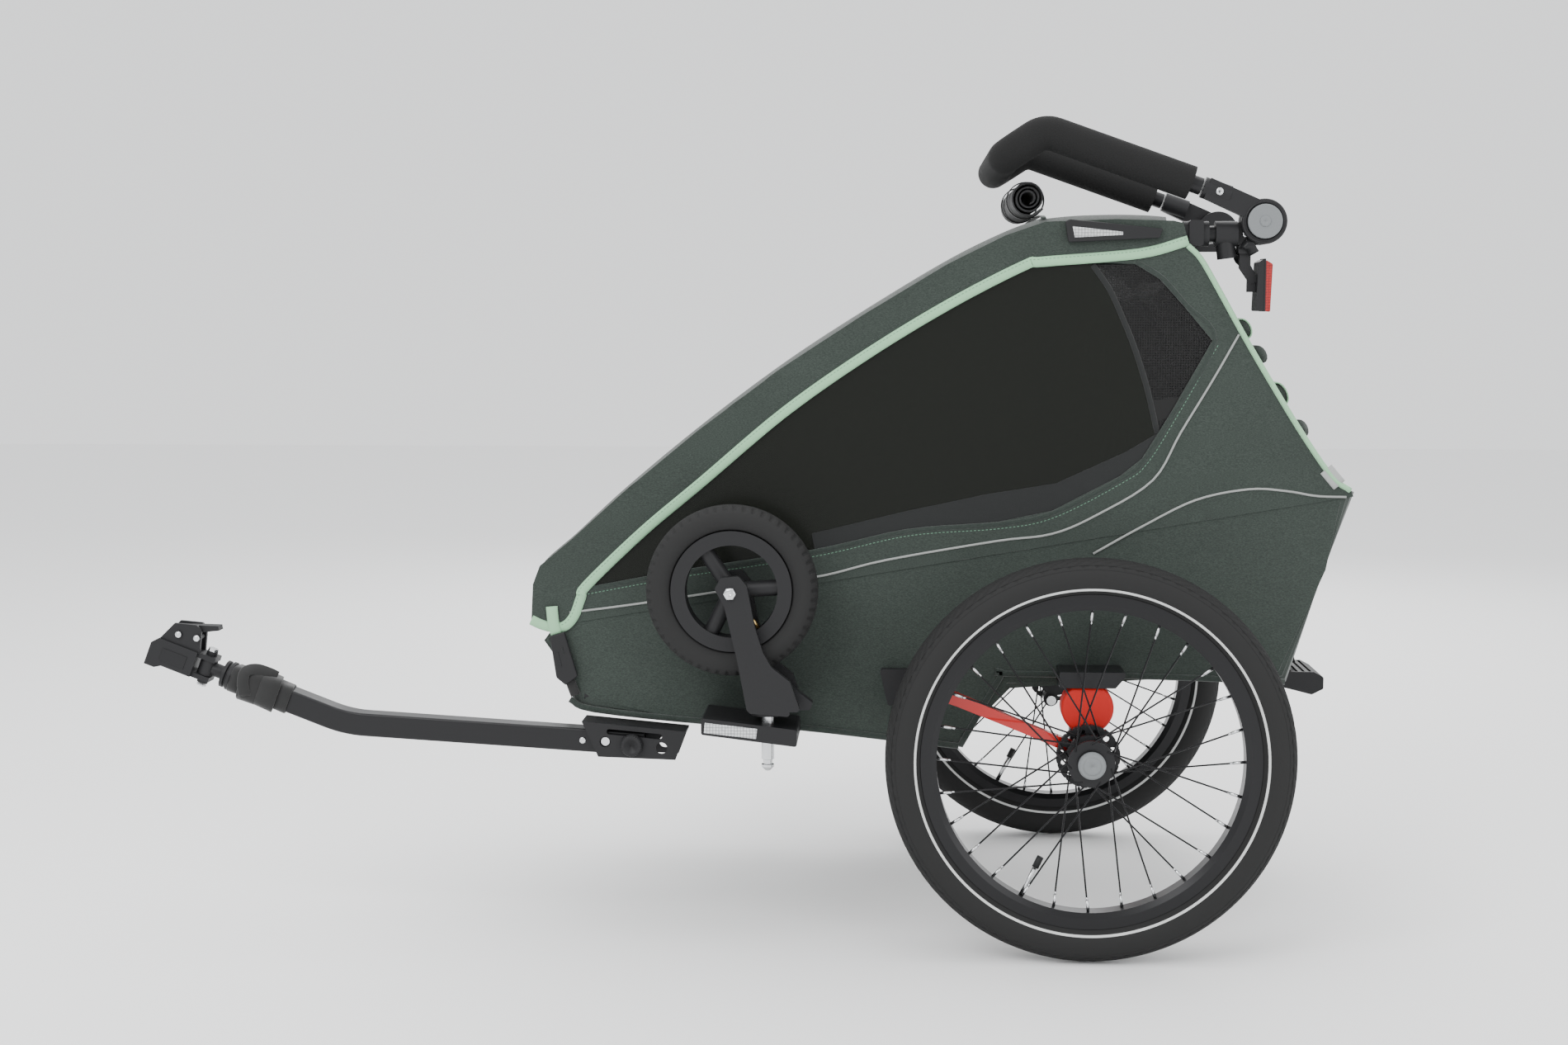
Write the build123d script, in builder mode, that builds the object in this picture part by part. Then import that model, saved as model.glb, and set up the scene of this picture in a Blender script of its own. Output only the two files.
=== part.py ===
from build123d import *
from math import atan2, cos, degrees, hypot, radians, sin
import os

# Child bicycle trailer, one seat, with the stroller wheel stowed on its left side.
# Row frame in mm: +Z up, front towards -X, left side -Y, origin on the ground at the middle
# of the overall length and width. Side-view points are given from the wheel axle.

os.makedirs("parts", exist_ok=True)

# ---- driving dimensions ----
AXLE_X = 440.64           # the axle, behind the middle of the overall length
WHEEL_R = 254.0           # 20 inch wheel with a 50 mm tyre
TYRE_HALF = 25.0
TRACK_HALF = 320.0
TUB_HALF = 225.0          # outside of the lower fabric
CANOPY_HALF = 215.0       # outside of the upper fabric
CLOTH = 3.0
HOOP_Y, HOOP_R = 190.0, 10.0
RAIL_Y, RAIL_R = 211.0, 9.0
BACK_Y, BACK_R = 165.0, 9.0
TUBE_WALL = 1.6
SPOKES = 28
BAR_Y, BAR_SIZE, BAR_WALL = -225.0, 30.0, 2.0
HITCH_SLOPE = 21.0        # rise of the drawbar's front end, degrees
GRIP_Y = 200.0
SWIVEL_Y = -290.0         # middle of the stowed stroller wheel
CLEAR = 0.3               # free gap between bodies that move past each other
RUNNING = 0.05            # radial clearance of a pin in its bore

# ---- key side-view points, from the axle, x to the rear and z above the ground ----
FRONT_PIVOT = (-632, 335)
BACK_PIVOT = (75, 432)
BACK_TOP = (140, 872)
HANDLE_PIVOT = (217, 920)
ARM_PIVOT = (-215, 340)
BAR_PIVOT = (-580, 252)
BAR_BEND = (-955, 274)
BAR_TIP = (-1062, 315)
STROLLER_HUB = (-447, 460)
STROLLER_PIN_X = -402
PEDAL_PIVOT = (262, 312)
PAWL = (31 * cos(radians(105)), WHEEL_R - 31 * sin(radians(105)))


def station(x, z):
    """A side-view point, x behind the axle and z above the ground, on a sketch plane."""
    return (AXLE_X + x, z)


def space(x, y, z):
    """The same point in space, at width y."""
    return (AXLE_X + x, y, z)


def side(y):
    """Side-view sketch plane at width y. It extrudes towards the left side, -Y."""
    return Plane.XZ.offset(-y)


def save(part, name):
    part.label = name
    export_step(part, f"parts/{name}.step")


def twin(left):
    """The mirror image, on the right side, of a left-hand piece."""
    with BuildPart() as right:
        mirror(left, about=Plane.XZ)
    return right.part


def both(left):
    """A left-hand piece and its mirror image."""
    with BuildPart() as pair:
        add(left)
        mirror(left, about=Plane.XZ)
    return pair.part


def group(*pieces):
    """Separate pieces kept in one node."""
    with BuildPart() as several:
        for piece in pieces:
            add(piece)
    return several.part


def slab(points, y_from, y_to, corner=0.0, bores=()):
    """A side-view outline between two widths, y_to being further left, with round bores."""
    with BuildPart() as piece:
        with BuildSketch(side(y_from)):
            with BuildLine():
                if corner:
                    FilletPolyline(*[station(*p) for p in points], radius=corner, close=True)
                else:
                    Polyline(*[station(*p) for p in points], close=True)
            make_face()
            for x, z, radius in bores:
                with Locations(station(x, z)):
                    Circle(radius, mode=Mode.SUBTRACT)
        extrude(amount=y_from - y_to)
    return piece.part


def pin(x, z, y_from, y_to, radius, bore=0.0, edge=0.0):
    """A cylinder across the trailer, y_to being further left, with its left rim rounded by edge."""
    with BuildPart() as piece:
        with BuildSketch(side(y_from)):
            with Locations(station(x, z)):
                Circle(radius)
                if bore:
                    Circle(bore, mode=Mode.SUBTRACT)
        extrude(amount=y_from - y_to)
        if edge:
            rim = piece.faces().sort_by(Axis.Y)[0].edges()
            fillet(rim, edge)
    return piece.part


def rod(start, end, radius, bore=0.0):
    """A straight round bar or tube between two points in space."""
    line = Vector(*end) - Vector(*start)
    with BuildPart() as piece:
        with BuildSketch(Plane(origin=start, z_dir=line)):
            Circle(radius)
            if bore:
                Circle(bore, mode=Mode.SUBTRACT)
        extrude(amount=line.length)
    return piece.part


def bent_tube(points, bend, radius, bore=0.0):
    """A round tube along a filleted line through points in space."""
    with BuildPart() as piece:
        with BuildLine() as path:
            FilletPolyline(*points, radius=bend)
        with BuildSketch(Plane(origin=path.line @ 0, z_dir=path.line % 0)):
            Circle(radius)
            if bore:
                Circle(bore, mode=Mode.SUBTRACT)
        sweep(path=path.line)
    return piece.part


def turned(profile, x, y, z, bore=0.0):
    """A piece turned about the line across the trailer through x, z. The closed profile holds
    (distance out from width y, radius) points; out is to the left."""
    with BuildPart() as piece:
        with BuildSketch(Plane(origin=space(x, y, z), x_dir=(0, -1, 0), z_dir=(-1, 0, 0))):
            with BuildLine():
                Polyline(*profile, close=True)
            make_face()
        revolve(axis=Axis(space(x, 0, z), (0, 1, 0)))
    return piece.part


def block(x0, x1, y0, y1, z0, z1, edge=0.0):
    """A box between two corners, with its upright and long edges rounded by edge."""
    with BuildPart() as piece:
        with Locations(space((x0 + x1) / 2, (y0 + y1) / 2, (z0 + z1) / 2)):
            Box(x1 - x0, y1 - y0, z1 - z0)
        if edge:
            fillet(piece.edges(), edge)
    return piece.part


# ---- 20 inch wheels ----
def tyre():
    """Open tyre carcass with its two beads between the rim's flanges."""
    middle, inner, seat = WHEEL_R - TYRE_HALF, TYRE_HALF - 4.5, 210.3
    with BuildPart() as piece:
        with BuildSketch(Plane(origin=space(0, -TRACK_HALF, WHEEL_R), x_dir=(0, -1, 0), z_dir=(-1, 0, 0))):
            with Locations((0, middle)):
                Circle(TYRE_HALF)
            with Locations((0, seat - 15)):
                Rectangle(60, 30, mode=Mode.SUBTRACT)
            with Locations((0, 208.5)):
                Rectangle(24.6, 10)
            with Locations((0, middle)):
                Circle(inner, mode=Mode.SUBTRACT)
            with Locations((0, 208)):
                Rectangle(17, 14, mode=Mode.SUBTRACT)
        revolve(axis=Axis(space(0, 0, WHEEL_R), (0, 1, 0)))
    return piece.part


def rim():
    """Channel rim: a floor for the nipples and two flanges for the tyre's beads."""
    profile = [(-11, 190), (11, 190), (14.8, 197), (14.8, 210), (12.4, 210), (12.4, 199), (9.5, 193.5),
               (-9.5, 193.5), (-12.4, 199), (-12.4, 210), (-14.8, 210), (-14.8, 197)]
    return turned(profile, 0, -TRACK_HALF, WHEEL_R)


def spokes():
    """Laced spokes, half to each hub flange, leaving the flange forwards and backwards in turn."""
    flange, hole_r, rim_r, lace = 17.0, 25.0, 191.5, 52.0
    with BuildPart() as piece:
        for i in range(SPOKES):
            out = 1 if i % 2 else -1
            turn = 1 if (i // 2) % 2 else -1
            rim_a = radians(360 * i / SPOKES)
            hub_a = rim_a + turn * radians(lace)
            y0 = -TRACK_HALF - out * flange - turn * 2.6
            y1 = -TRACK_HALF - out * 3.0
            start = space(hole_r * cos(hub_a), y0, WHEEL_R + hole_r * sin(hub_a))
            end = space(rim_r * cos(rim_a), y1, WHEEL_R + rim_r * sin(rim_a))
            add(rod(start, end, 1.1))
    return piece.part


def hub():
    """Hub shell with two spoke flanges, and the toothed parking-brake ring behind it."""
    shell = turned([(-25, 8.05), (-25, 17), (-20, 17), (-20, 29), (-15, 29), (-13, 15), (13, 15), (15, 29),
                    (19, 29), (21, 19), (22, 19), (22, 8.05)], 0, -TRACK_HALF, WHEEL_R)
    with BuildPart() as ring:
        with BuildSketch(side(-TRACK_HALF + 33)):
            with Locations(station(0, WHEEL_R)):
                Circle(40)
                Circle(8.6, mode=Mode.SUBTRACT)
                with PolarLocations(31, 12, start_angle=15):
                    Circle(4.2, mode=Mode.SUBTRACT)
                with PolarLocations(41, 24):
                    Circle(2.0, mode=Mode.SUBTRACT)
        extrude(amount=8)
    return group(shell, ring.part)


def hub_button():
    """Round push button on the end of the quick-release axle, with its stem."""
    head = turned([(25.5, 0), (25.5, 17), (30, 17), (32.5, 15), (34, 10), (34.6, 0)], 0, -TRACK_HALF, WHEEL_R)
    stem = pin(0, WHEEL_R, -TRACK_HALF - 8, -TRACK_HALF - 25.5, 4.0)
    with BuildPart() as piece:
        add(head)
        add(stem)
    return piece.part


# ---- sprung swing arms ----
def swing_arm():
    """Slim pressed arm from the chassis pivot to the axle carrier."""
    px, pz = ARM_PIVOT
    slope = atan2(WHEEL_R - pz, -px)
    along, up = (cos(slope), sin(slope)), (-sin(slope), cos(slope))

    def on_arm(a, b):
        return (px + a * along[0] + b * up[0], pz + a * along[1] + b * up[1])

    reach = hypot(px, WHEEL_R - pz)
    outline = [on_arm(-4, 9), on_arm(60, 9), on_arm(150, 7), on_arm(reach, 8),
               on_arm(reach, -8), on_arm(150, -6), on_arm(60, -6), on_arm(-4, -9)]
    with BuildPart() as piece:
        add(slab(outline, -267, -281))
        add(pin(px, pz, -267, -281, 13))
        with Locations(space(0, -274, WHEEL_R)):
            Cylinder(24, 40, rotation=(90, 0, 0), mode=Mode.SUBTRACT)
        with Locations(space(px, -274, pz)):
            Cylinder(6 + RUNNING, 40, rotation=(90, 0, 0), mode=Mode.SUBTRACT)
    return piece.part


def axle_carrier():
    """Carrier at the arm's end: the fixed axle, and the saddle that the rubber spring stands on."""
    with BuildPart() as piece:
        add(pin(0, WHEEL_R, -247, -282, 24))
        add(slab([(-21, 262), (21, 262), (21, 284), (-21, 284)], -243, -266.9, corner=3))
        add(pin(0, WHEEL_R, -282, -338, 8))
        add(pin(*PAWL, -247, -282, 11))
        with Locations(space(0, -329, WHEEL_R)):
            Cylinder(4.1, 30, rotation=(90, 0, 0), mode=Mode.SUBTRACT)
        with Locations(space(PAWL[0], -264, PAWL[1])):
            Cylinder(3.6 + RUNNING, 70, rotation=(90, 0, 0), mode=Mode.SUBTRACT)
    return piece.part


def brake_pawl():
    """Headed locking pin that slides out into a hole of the brake ring."""
    with BuildPart() as piece:
        add(pin(*PAWL, -240, -286, 3.6))
        add(pin(*PAWL, -234, -240, 7))
    return piece.part


def rubber_spring():
    """Round rubber spring block, flattened where it meets its bracket and its saddle."""
    with BuildPart() as piece:
        with BuildSketch(side(-241)):
            with Locations(station(0, 311)):
                Circle(33)
            with Locations(station(0, 311)):
                Rectangle(90, 54, mode=Mode.INTERSECT)
        extrude(amount=36)
        fillet(piece.edges().group_by(Axis.Y)[0] + piece.edges().group_by(Axis.Y)[-1], 5)
    return piece.part


def spring_bracket():
    """Black bracket on the chassis that the rubber spring pushes up against."""
    outline = [(-36, 338), (34, 338), (46, 352), (46, 358), (-36, 358)]
    return slab(outline, -TUB_HALF - 0.6, -281, corner=2)


def arm_pivot_bracket():
    """Ribbed bracket outside the fabric, with the fixed pin that the arm turns on."""
    px, pz = ARM_PIVOT
    plate = slab([(-262, 352), (-250, 300), (-235, 318), (-196, 318), (-186, 352)], -TUB_HALF - 0.6, -237, corner=4)
    return group(plate, pin(px, pz, -237, -288, 6), pin(px, pz, -237, -265, 11, bore=6))


# ---- chassis ----
def rail():
    points = [space(x, -RAIL_Y, z) for x, z in ((-645, 312), (-170, 268), (-112, 362), (236, 352))]
    return bent_tube(points, 30, RAIL_R, RAIL_R - TUBE_WALL)


def trunk_hoop():
    """Bow behind the luggage space that holds the fabric's rear corner out."""
    points = [space(242, -RAIL_Y, 366), space(316, -205, 567), space(316, 205, 567), space(242, RAIL_Y, 366)]
    return bent_tube(points, 30, 8, 8 - TUBE_WALL)


def cross_tubes():
    """Four tubes between the rails; the last carries the lugs of the brake pedal."""
    pieces = []
    for x, z in ((-600, 307.8), (-206, 271.3), (10, 358.6), (226, 352.4)):
        pieces.append(rod(space(x, -RAIL_Y + RAIL_R + 0.1, z), space(x, RAIL_Y - RAIL_R - 0.1, z), RAIL_R,
                          RAIL_R - TUBE_WALL))
    return group(*pieces)


def pedal_lugs():
    """Two lugs under the rear floor with the pedal's fixed hinge pin."""
    px, pz = PEDAL_PIVOT
    outline = [(px - 26, 333), (px - 8, 333), (px + 9, pz + 4), (px + 9, pz - 8), (px - 9, pz - 8), (px - 26, 322)]
    lugs = [slab(outline, y, y - 5, corner=3, bores=[(px, pz, 4)]) for y in (58, -53)]
    return group(*lugs, pin(px, pz, 60, -60, 4))


def brake_pedal():
    """Ribbed foot pedal of the parking brake, with the eye that turns on its pin."""
    px, pz = PEDAL_PIVOT
    with BuildPart() as piece:
        add(slab([(px + 4, pz - 8), (px + 60, pz - 22), (337.4, pz - 14), (337.4, pz + 2), (px + 62, pz + 9),
                  (px, pz + 9), (px - 8, pz)], 50, -50, corner=3))
        add(pin(px, pz, 50, -50, 9))
        with Locations(space(px, 0, pz)):
            Cylinder(4 + RUNNING, 140, rotation=(90, 0, 0), mode=Mode.SUBTRACT)
        for i in range(6):
            with Locations(space(px + 22 + 9 * i, 0, pz + 9)):
                Box(4, 92, 5, mode=Mode.SUBTRACT)
    return piece.part


def frame_pivot_brackets():
    """Plates with fixed pins: the top frame turns on the front pair, the back frame on the rear pair."""
    fx, fz = FRONT_PIVOT
    bx, bz = BACK_PIVOT
    front = slab([(fx - 12, fz - 24), (fx + 24, fz - 28), (fx + 12, fz + 12), (fx - 10, fz + 12)],
                 -HOOP_Y - HOOP_R - 0.4, -205.4, corner=4)
    rear = slab([(bx - 26, 372), (bx + 26, 372), (bx + 13, bz + 13), (bx - 13, bz + 13)], -175, -180, corner=5)
    foot = block(bx - 26, bx + 26, -207, -180.1, 364, 377)
    pieces = [front, pin(fx, fz, -180, -HOOP_Y - HOOP_R - 0.4, 5), rear, foot, pin(bx, bz, -155, -175, 5)]
    return both(group(*pieces))


# ---- soft parts ----
BELT = [(-690, 405), (338, 580)]
TUB_OUTLINE = [(-662, 301), (-632, 289), (-492, 275), (-364, 268), (-156, 245), (-104, 342), (258, 335),
               (302, 482), BELT[1], BELT[0], (-682, 388)]
CANOPY_OUTLINE = [(-690, 405.5), (-713, 405.5), (-715.4, 422), (-709, 458), (-698, 484), (-657, 520), (-592, 580),
                  (-494, 661), (-387, 741), (-281, 810), (-176, 873), (-103, 909), (-56, 926), (32, 929),
                  (104, 926), (108, 897), (159, 841), (197, 774), (234, 712), (272, 650), (309, 598), (336, 581)]
WINDOW = [(-645, 452), (-609, 459), (-513, 477), (-346, 504), (-227, 531), (-111, 541), (-44, 555), (42, 600),
          (69, 622), (105, 681), (155, 771), (118, 815), (88, 848), (57, 867), (-20, 870), (-58, 867),
          (-83, 862), (-176, 814), (-281, 750), (-386, 676), (-492, 586), (-567, 523)]


def hollow(outline, half, mouth):
    """Fabric walls of one cloth thickness along a side-view outline, cut open at the mouth strip."""
    with BuildPart() as piece:
        add(slab(outline, half, -half))
        with BuildSketch(side(half - CLOTH)):
            with BuildLine():
                Polyline(*[station(*p) for p in outline], close=True)
            make_face()
            offset(amount=-CLOTH, kind=Kind.INTERSECTION)
            with BuildLine():
                Polyline(*[station(*p) for p in mouth], close=True)
            make_face()
        extrude(amount=2 * (half - CLOTH), mode=Mode.SUBTRACT)
    return piece.part


def tub_fabric():
    """Lower fabric body: floor, sides, nose and luggage space, open at the belt line."""
    return hollow(TUB_OUTLINE, TUB_HALF, [(-685, 396), (333, 570), (333, 620), (-685, 445)])


def canopy_fabric():
    """Upper fabric: nose, sloping cover, roof, sides and rear, open below and at the windows."""
    with BuildPart() as piece:
        add(hollow(CANOPY_OUTLINE, CANOPY_HALF, [(-686, 420), (328, 590), (328, 545), (-686, 375)]))
        with Locations(space(149, 0, 884)):
            Box(102, 2 * (CANOPY_HALF - CLOTH) - 0.2, 76, mode=Mode.SUBTRACT)
        with BuildSketch(side(CANOPY_HALF + 5)):
            with BuildLine():
                Polyline(*[station(*p) for p in WINDOW], close=True)
            make_face()
        extrude(amount=2 * CANOPY_HALF + 10, mode=Mode.SUBTRACT)
    return piece.part


def side_window():
    """Clear film in the side opening."""
    with BuildPart() as piece:
        with BuildSketch(side(-CANOPY_HALF + 2)):
            with BuildLine():
                Polyline(*[station(*p) for p in WINDOW], close=True)
            make_face()
            offset(amount=-0.5)
        extrude(amount=1.2)
    return piece.part


def seat_cushion():
    return block(-235, 40, -190, 190, 368, 400, edge=8)


def lap_harness():
    """Crotch strap lying on the seat, with the central buckle."""
    strap = block(-190, -60, -14, 14, 400.2, 402.4)
    buckle = block(-75, -30, -22, 22, 402.6, 415, edge=4)
    return group(strap, buckle)


def on_back(a, b):
    """A side-view point a up the back frame from its pivot and b in front of its tubes' line."""
    dx, dz = BACK_TOP[0] - BACK_PIVOT[0], BACK_TOP[1] - BACK_PIVOT[1]
    length = hypot(dx, dz)
    ux, uz = dx / length, dz / length
    return (BACK_PIVOT[0] + a * ux - b * uz, BACK_PIVOT[1] + a * uz + b * ux)


def backrest_cushion():
    """Padded back with two side bolsters at head height."""
    pad = slab([on_back(16, 11), on_back(425, 11), on_back(425, 38), on_back(16, 38)], 176, -176, corner=8)
    wing_outline = [on_back(235, 38.3), on_back(400, 38.3), on_back(375, 78), on_back(330, 92), on_back(262, 80)]
    wing = slab(wing_outline, -110, -150, corner=12)
    return group(pad, wing, twin(wing))


def shoulder_straps():
    strap = slab([on_back(40, 38.3), on_back(330, 38.3), on_back(330, 40.6), on_back(40, 40.6)], -38, -66)
    chest_pad = slab([on_back(150, 41), on_back(300, 41), on_back(300, 50), on_back(150, 50)], -32, -72, corner=3)
    return both(group(strap, chest_pad))


# ---- folding frames ----
HOOP_LINE = [FRONT_PIVOT, (-676, 450), (-390, 718), (-170, 856), (-66, 905), (158, 905)]


def top_frame_tubes():
    """Two side tubes from the front pivots over the roof, and the tube between the roof's corners."""
    fx, fz = FRONT_PIVOT
    start = (fx - 4, fz + 10.8)
    points = [space(x, -HOOP_Y, z) for x, z in [start, *HOOP_LINE[1:]]]
    with BuildPart() as left:
        add(bent_tube(points, 42, HOOP_R, HOOP_R - TUBE_WALL))
        add(pin(fx, fz, -HOOP_Y + HOOP_R - 0.2, -HOOP_Y - HOOP_R + 0.2, 12))
        with Locations(space(fx, -HOOP_Y, fz)):
            Cylinder(5 + RUNNING, 40, rotation=(90, 0, 0), mode=Mode.SUBTRACT)
    across = rod(space(172, -173.9, 905), space(172, 173.9, 905), HOOP_R - 1, HOOP_R - 1 - TUBE_WALL)
    return group(both(left.part), across)


def corner_fitting():
    """Cast joint at the roof's rear corner, with the stub that the back frame stands against."""
    with BuildPart() as piece:
        add(rod(space(158.2, -HOOP_Y, 905), space(186, -HOOP_Y, 905), 16))
        add(rod(space(170, -HOOP_Y, 905), space(174, -HOOP_Y, 874), 12))
    return piece.part


def locking_sleeve():
    """Sliding sleeve with a grip block; it rides on the roof tube."""
    with BuildPart() as piece:
        add(rod(space(118, -HOOP_Y, 905), space(150, -HOOP_Y, 905), 16))
        add(slab([(124, 890), (142, 890), (142, 922), (124, 922)], -HOOP_Y - 8, -HOOP_Y - 19, corner=3))
        with Locations(space(134, -HOOP_Y, 905)):
            Cylinder(HOOP_R + RUNNING, 50, rotation=(0, 90, 0), mode=Mode.SUBTRACT)
    return piece.part


def back_frame_tubes():
    """Upright bow that carries the seat back, with an eye at each foot."""
    bx, bz = BACK_PIVOT
    foot = on_back(6, 0)
    points = [space(foot[0], -BACK_Y, foot[1]), space(*(BACK_TOP[0], -BACK_Y, BACK_TOP[1])),
              space(BACK_TOP[0], BACK_Y, BACK_TOP[1]), space(foot[0], BACK_Y, foot[1])]
    with BuildPart() as piece:
        add(bent_tube(points, 45, BACK_R, BACK_R - TUBE_WALL))
        for y in (-BACK_Y + BACK_R, BACK_Y + BACK_R - 0.4):
            add(pin(bx, bz, y, y - 2 * BACK_R + 0.4, 11))
        with Locations(space(bx, 0, bz)):
            Cylinder(5 + RUNNING, 400, rotation=(90, 0, 0), mode=Mode.SUBTRACT)
    return piece.part


# ---- push handle ----
def handle_hinge_base():
    """Fixed half of the handle hinge: a bar from the corner fitting to a round housing."""
    kx, kz = HANDLE_PIVOT
    with BuildPart() as piece:
        add(slab([(186.2, 891), (kx, 891), (kx, 919), (186.2, 919)], -182, -198))
        add(pin(kx, kz, -182, -198, 28.5))
        add(pin(kx, kz, -198, -209, 7))
    return piece.part


def handle_hinge_head():
    """Turning half of the handle hinge, with the socket for the handle tube."""
    kx, kz = HANDLE_PIVOT
    with BuildPart() as piece:
        add(pin(kx, kz, -198 - CLEAR, -212, 28.5, edge=3))
        add(slab([(kx - 6, kz + 27), (150, 974), (141, 949), (kx - 27, kz + 6)], -198 - CLEAR, -212))
        add(rod(space(174, -GRIP_Y, 951.2), space(141, -GRIP_Y, 963), 13.5))
        with Locations(space(kx, -200, kz)):
            Cylinder(29, 4, rotation=(90, 0, 0), mode=Mode.SUBTRACT)
        with Locations(space(kx, -203, kz)):
            Cylinder(7 + RUNNING, 14, rotation=(90, 0, 0), mode=Mode.SUBTRACT)
        with Locations(space(kx, -212, kz)):
            Cylinder(22, 3.4, rotation=(90, 0, 0), mode=Mode.SUBTRACT)
        with Locations(space(kx, -190, kz)):
            Cylinder(29.5, 16 + 2 * CLEAR, rotation=(90, 0, 0), mode=Mode.SUBTRACT)
    return piece.part


HANDLE_LINE = [(139, 963.7), (-58, 1034), (-106, 1003)]


def handle_path(start):
    ends = [start, HANDLE_LINE[1], HANDLE_LINE[2]]
    left = [space(x, -GRIP_Y, z) for x, z in ends]
    return left + [(x, -y, z) for x, y, z in reversed(left)]


def handle_tube():
    return bent_tube(handle_path(HANDLE_LINE[0]), 30, 11, 11 - TUBE_WALL)


def handle_grip():
    """Foam over the whole bow of the handle."""
    first, second = HANDLE_LINE[:2]
    rise = (second[1] - first[1]) / (second[0] - first[0])
    return bent_tube(handle_path((126, first[1] + rise * (126 - first[0]))), 30, 21.5, 11 + 0.01)


def handle_button():
    kx, kz = HANDLE_PIVOT
    return pin(kx, kz, -213.4, -217.5, 21.5, edge=1.5)


# ---- rear light and roof fittings ----
def light_mount():
    """Strap clamp on the hinge's bar, with its thumb screw and the bent arm to the light."""
    with BuildPart() as piece:
        add(slab([(187, 880), (205, 880), (205, 890.6), (187, 890.6)], -180, -200, corner=2))
        add(slab([(189, 880.2), (203, 880.2), (203, 866), (214, 846), (204, 842), (190, 862)], -184, -196))
        add(block(200, 209.7, -195, -185, 832, 850))
    return piece.part


def rear_light_housing():
    return slab([(211, 869), (219, 874), (219, 808), (209, 808)], -172, -208, corner=2)


def rear_light_lens():
    return slab([(219.1, 873), (229, 867), (227, 807), (219.1, 808)], -173, -207, corner=2)


def roof_reflector():
    """Wedge-shaped black housing on the roof's side."""
    return slab([(-30, 922), (-30, 896), (85, 900), (88, 904), (88, 909)], -CANOPY_HALF - 0.4, -222, corner=2)


def rolled_cover():
    """Rain cover rolled up on the front of the roof."""
    return pin(-74, 953.5, 150, -150, 24, edge=3)


# ---- stroller wheel ----
def wheel_holders():
    """Side bracket that the stroller wheel is stowed in, and the empty socket under the nose."""
    outline = [(-484, 302), (-364, 288), (-364, 266.6), (-484, 281)]
    with BuildPart() as holder:
        add(slab(outline, -TUB_HALF - 0.5, -318, corner=3))
        with Locations(space(STROLLER_PIN_X, SWIVEL_Y, 285)):
            Cylinder(8 + RUNNING, 90, mode=Mode.SUBTRACT)
    with BuildPart() as socket:
        with BuildSketch(Plane.XY.offset(248)):
            with Locations((AXLE_X - 592, 0)):
                RectangleRounded(44, 40, 8)
                Circle(8 + RUNNING, mode=Mode.SUBTRACT)
        extrude(amount=34)
    return group(holder.part, socket.part)


def stroller_fork():
    """Two-legged caster fork with its crown over the steering pin."""
    hx, hz = STROLLER_HUB
    px = STROLLER_PIN_X
    leg = [(-466, 466), (-458, 480), (-436, 482), (-426, 470), (-416, 418), (-406, 387), (-395, 368), (-372, 350),
           (-359, 312), (-426, 312), (-438, 376), (-454, 444)]
    with BuildPart() as piece:
        for y in (SWIVEL_Y + 35, SWIVEL_Y - 25):
            add(slab(leg, y, y - 10, corner=4))
        add(slab([(px - 26, 340), (px + 26, 334), (px + 30, 306), (px - 22, 310)], SWIVEL_Y + 35, SWIVEL_Y - 35,
                 corner=4))
        add(slab([(-385, 308), (-395, 352), (-388, 352), (-345, 319), (-348, 310)], SWIVEL_Y + 8, SWIVEL_Y - 8,
                 corner=2))
        with Locations(space(px, SWIVEL_Y, 307.3)):
            Cylinder(22, 8)
        add(pin(hx, hz, SWIVEL_Y + 36, SWIVEL_Y - 36, 5))
        with Locations(space(px, SWIVEL_Y, 317)):
            Cylinder(7 + RUNNING, 28, mode=Mode.SUBTRACT)
    return piece.part


def stroller_pin():
    """Steel pin of the fork, with a snap groove near its pointed tip."""
    with BuildPart() as piece:
        with BuildSketch(Plane(origin=space(STROLLER_PIN_X, SWIVEL_Y, 0), x_dir=(1, 0, 0), z_dir=(0, -1, 0))):
            with BuildLine():
                Polyline((0, 330), (7, 330), (7, 303), (8, 302.5), (8, 246), (6, 245), (6, 240), (8, 239),
                         (8, 236), (3, 231), (0, 231), close=True)
            make_face()
        revolve(axis=Axis(space(STROLLER_PIN_X, SWIVEL_Y, 0), (0, 0, 1)))
    return piece.part


def stroller_tyre():
    hx, hz = STROLLER_HUB
    with BuildPart() as piece:
        with BuildSketch(Plane(origin=space(hx, SWIVEL_Y, hz), x_dir=(0, -1, 0), z_dir=(-1, 0, 0))):
            with Locations((0, 90.5)):
                Circle(18)
            with Locations((0, 70)):
                Rectangle(60, 12.4, mode=Mode.SUBTRACT)
            with Locations((0, 90.5)):
                Circle(13, mode=Mode.SUBTRACT)
            with Locations((0, 80)):
                Rectangle(8, 14, mode=Mode.SUBTRACT)
        revolve(axis=Axis(space(hx, 0, hz), (0, 1, 0)))
    return piece.part


def stroller_rim():
    """Moulded wheel centre: a deep rim, three round spokes and a hub on the axle."""
    hx, hz = STROLLER_HUB
    ring = turned([(-14, 58), (14, 58), (14, 76), (9, 76), (9, 72), (-9, 72), (-9, 76), (-14, 76)],
                  hx, SWIVEL_Y, hz)
    with BuildPart() as piece:
        add(ring)
        add(pin(hx, hz, SWIVEL_Y + 22, SWIVEL_Y - 22, 13))
        for k in range(3):
            a = radians(4 + 120 * k)
            add(rod(space(hx + 8 * cos(a), SWIVEL_Y, hz + 8 * sin(a)),
                    space(hx + 60 * cos(a), SWIVEL_Y, hz + 60 * sin(a)), 10))
        with Locations(space(hx, SWIVEL_Y, hz)):
            Cylinder(5 + RUNNING, 60, rotation=(90, 0, 0), mode=Mode.SUBTRACT)
    return piece.part


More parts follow.
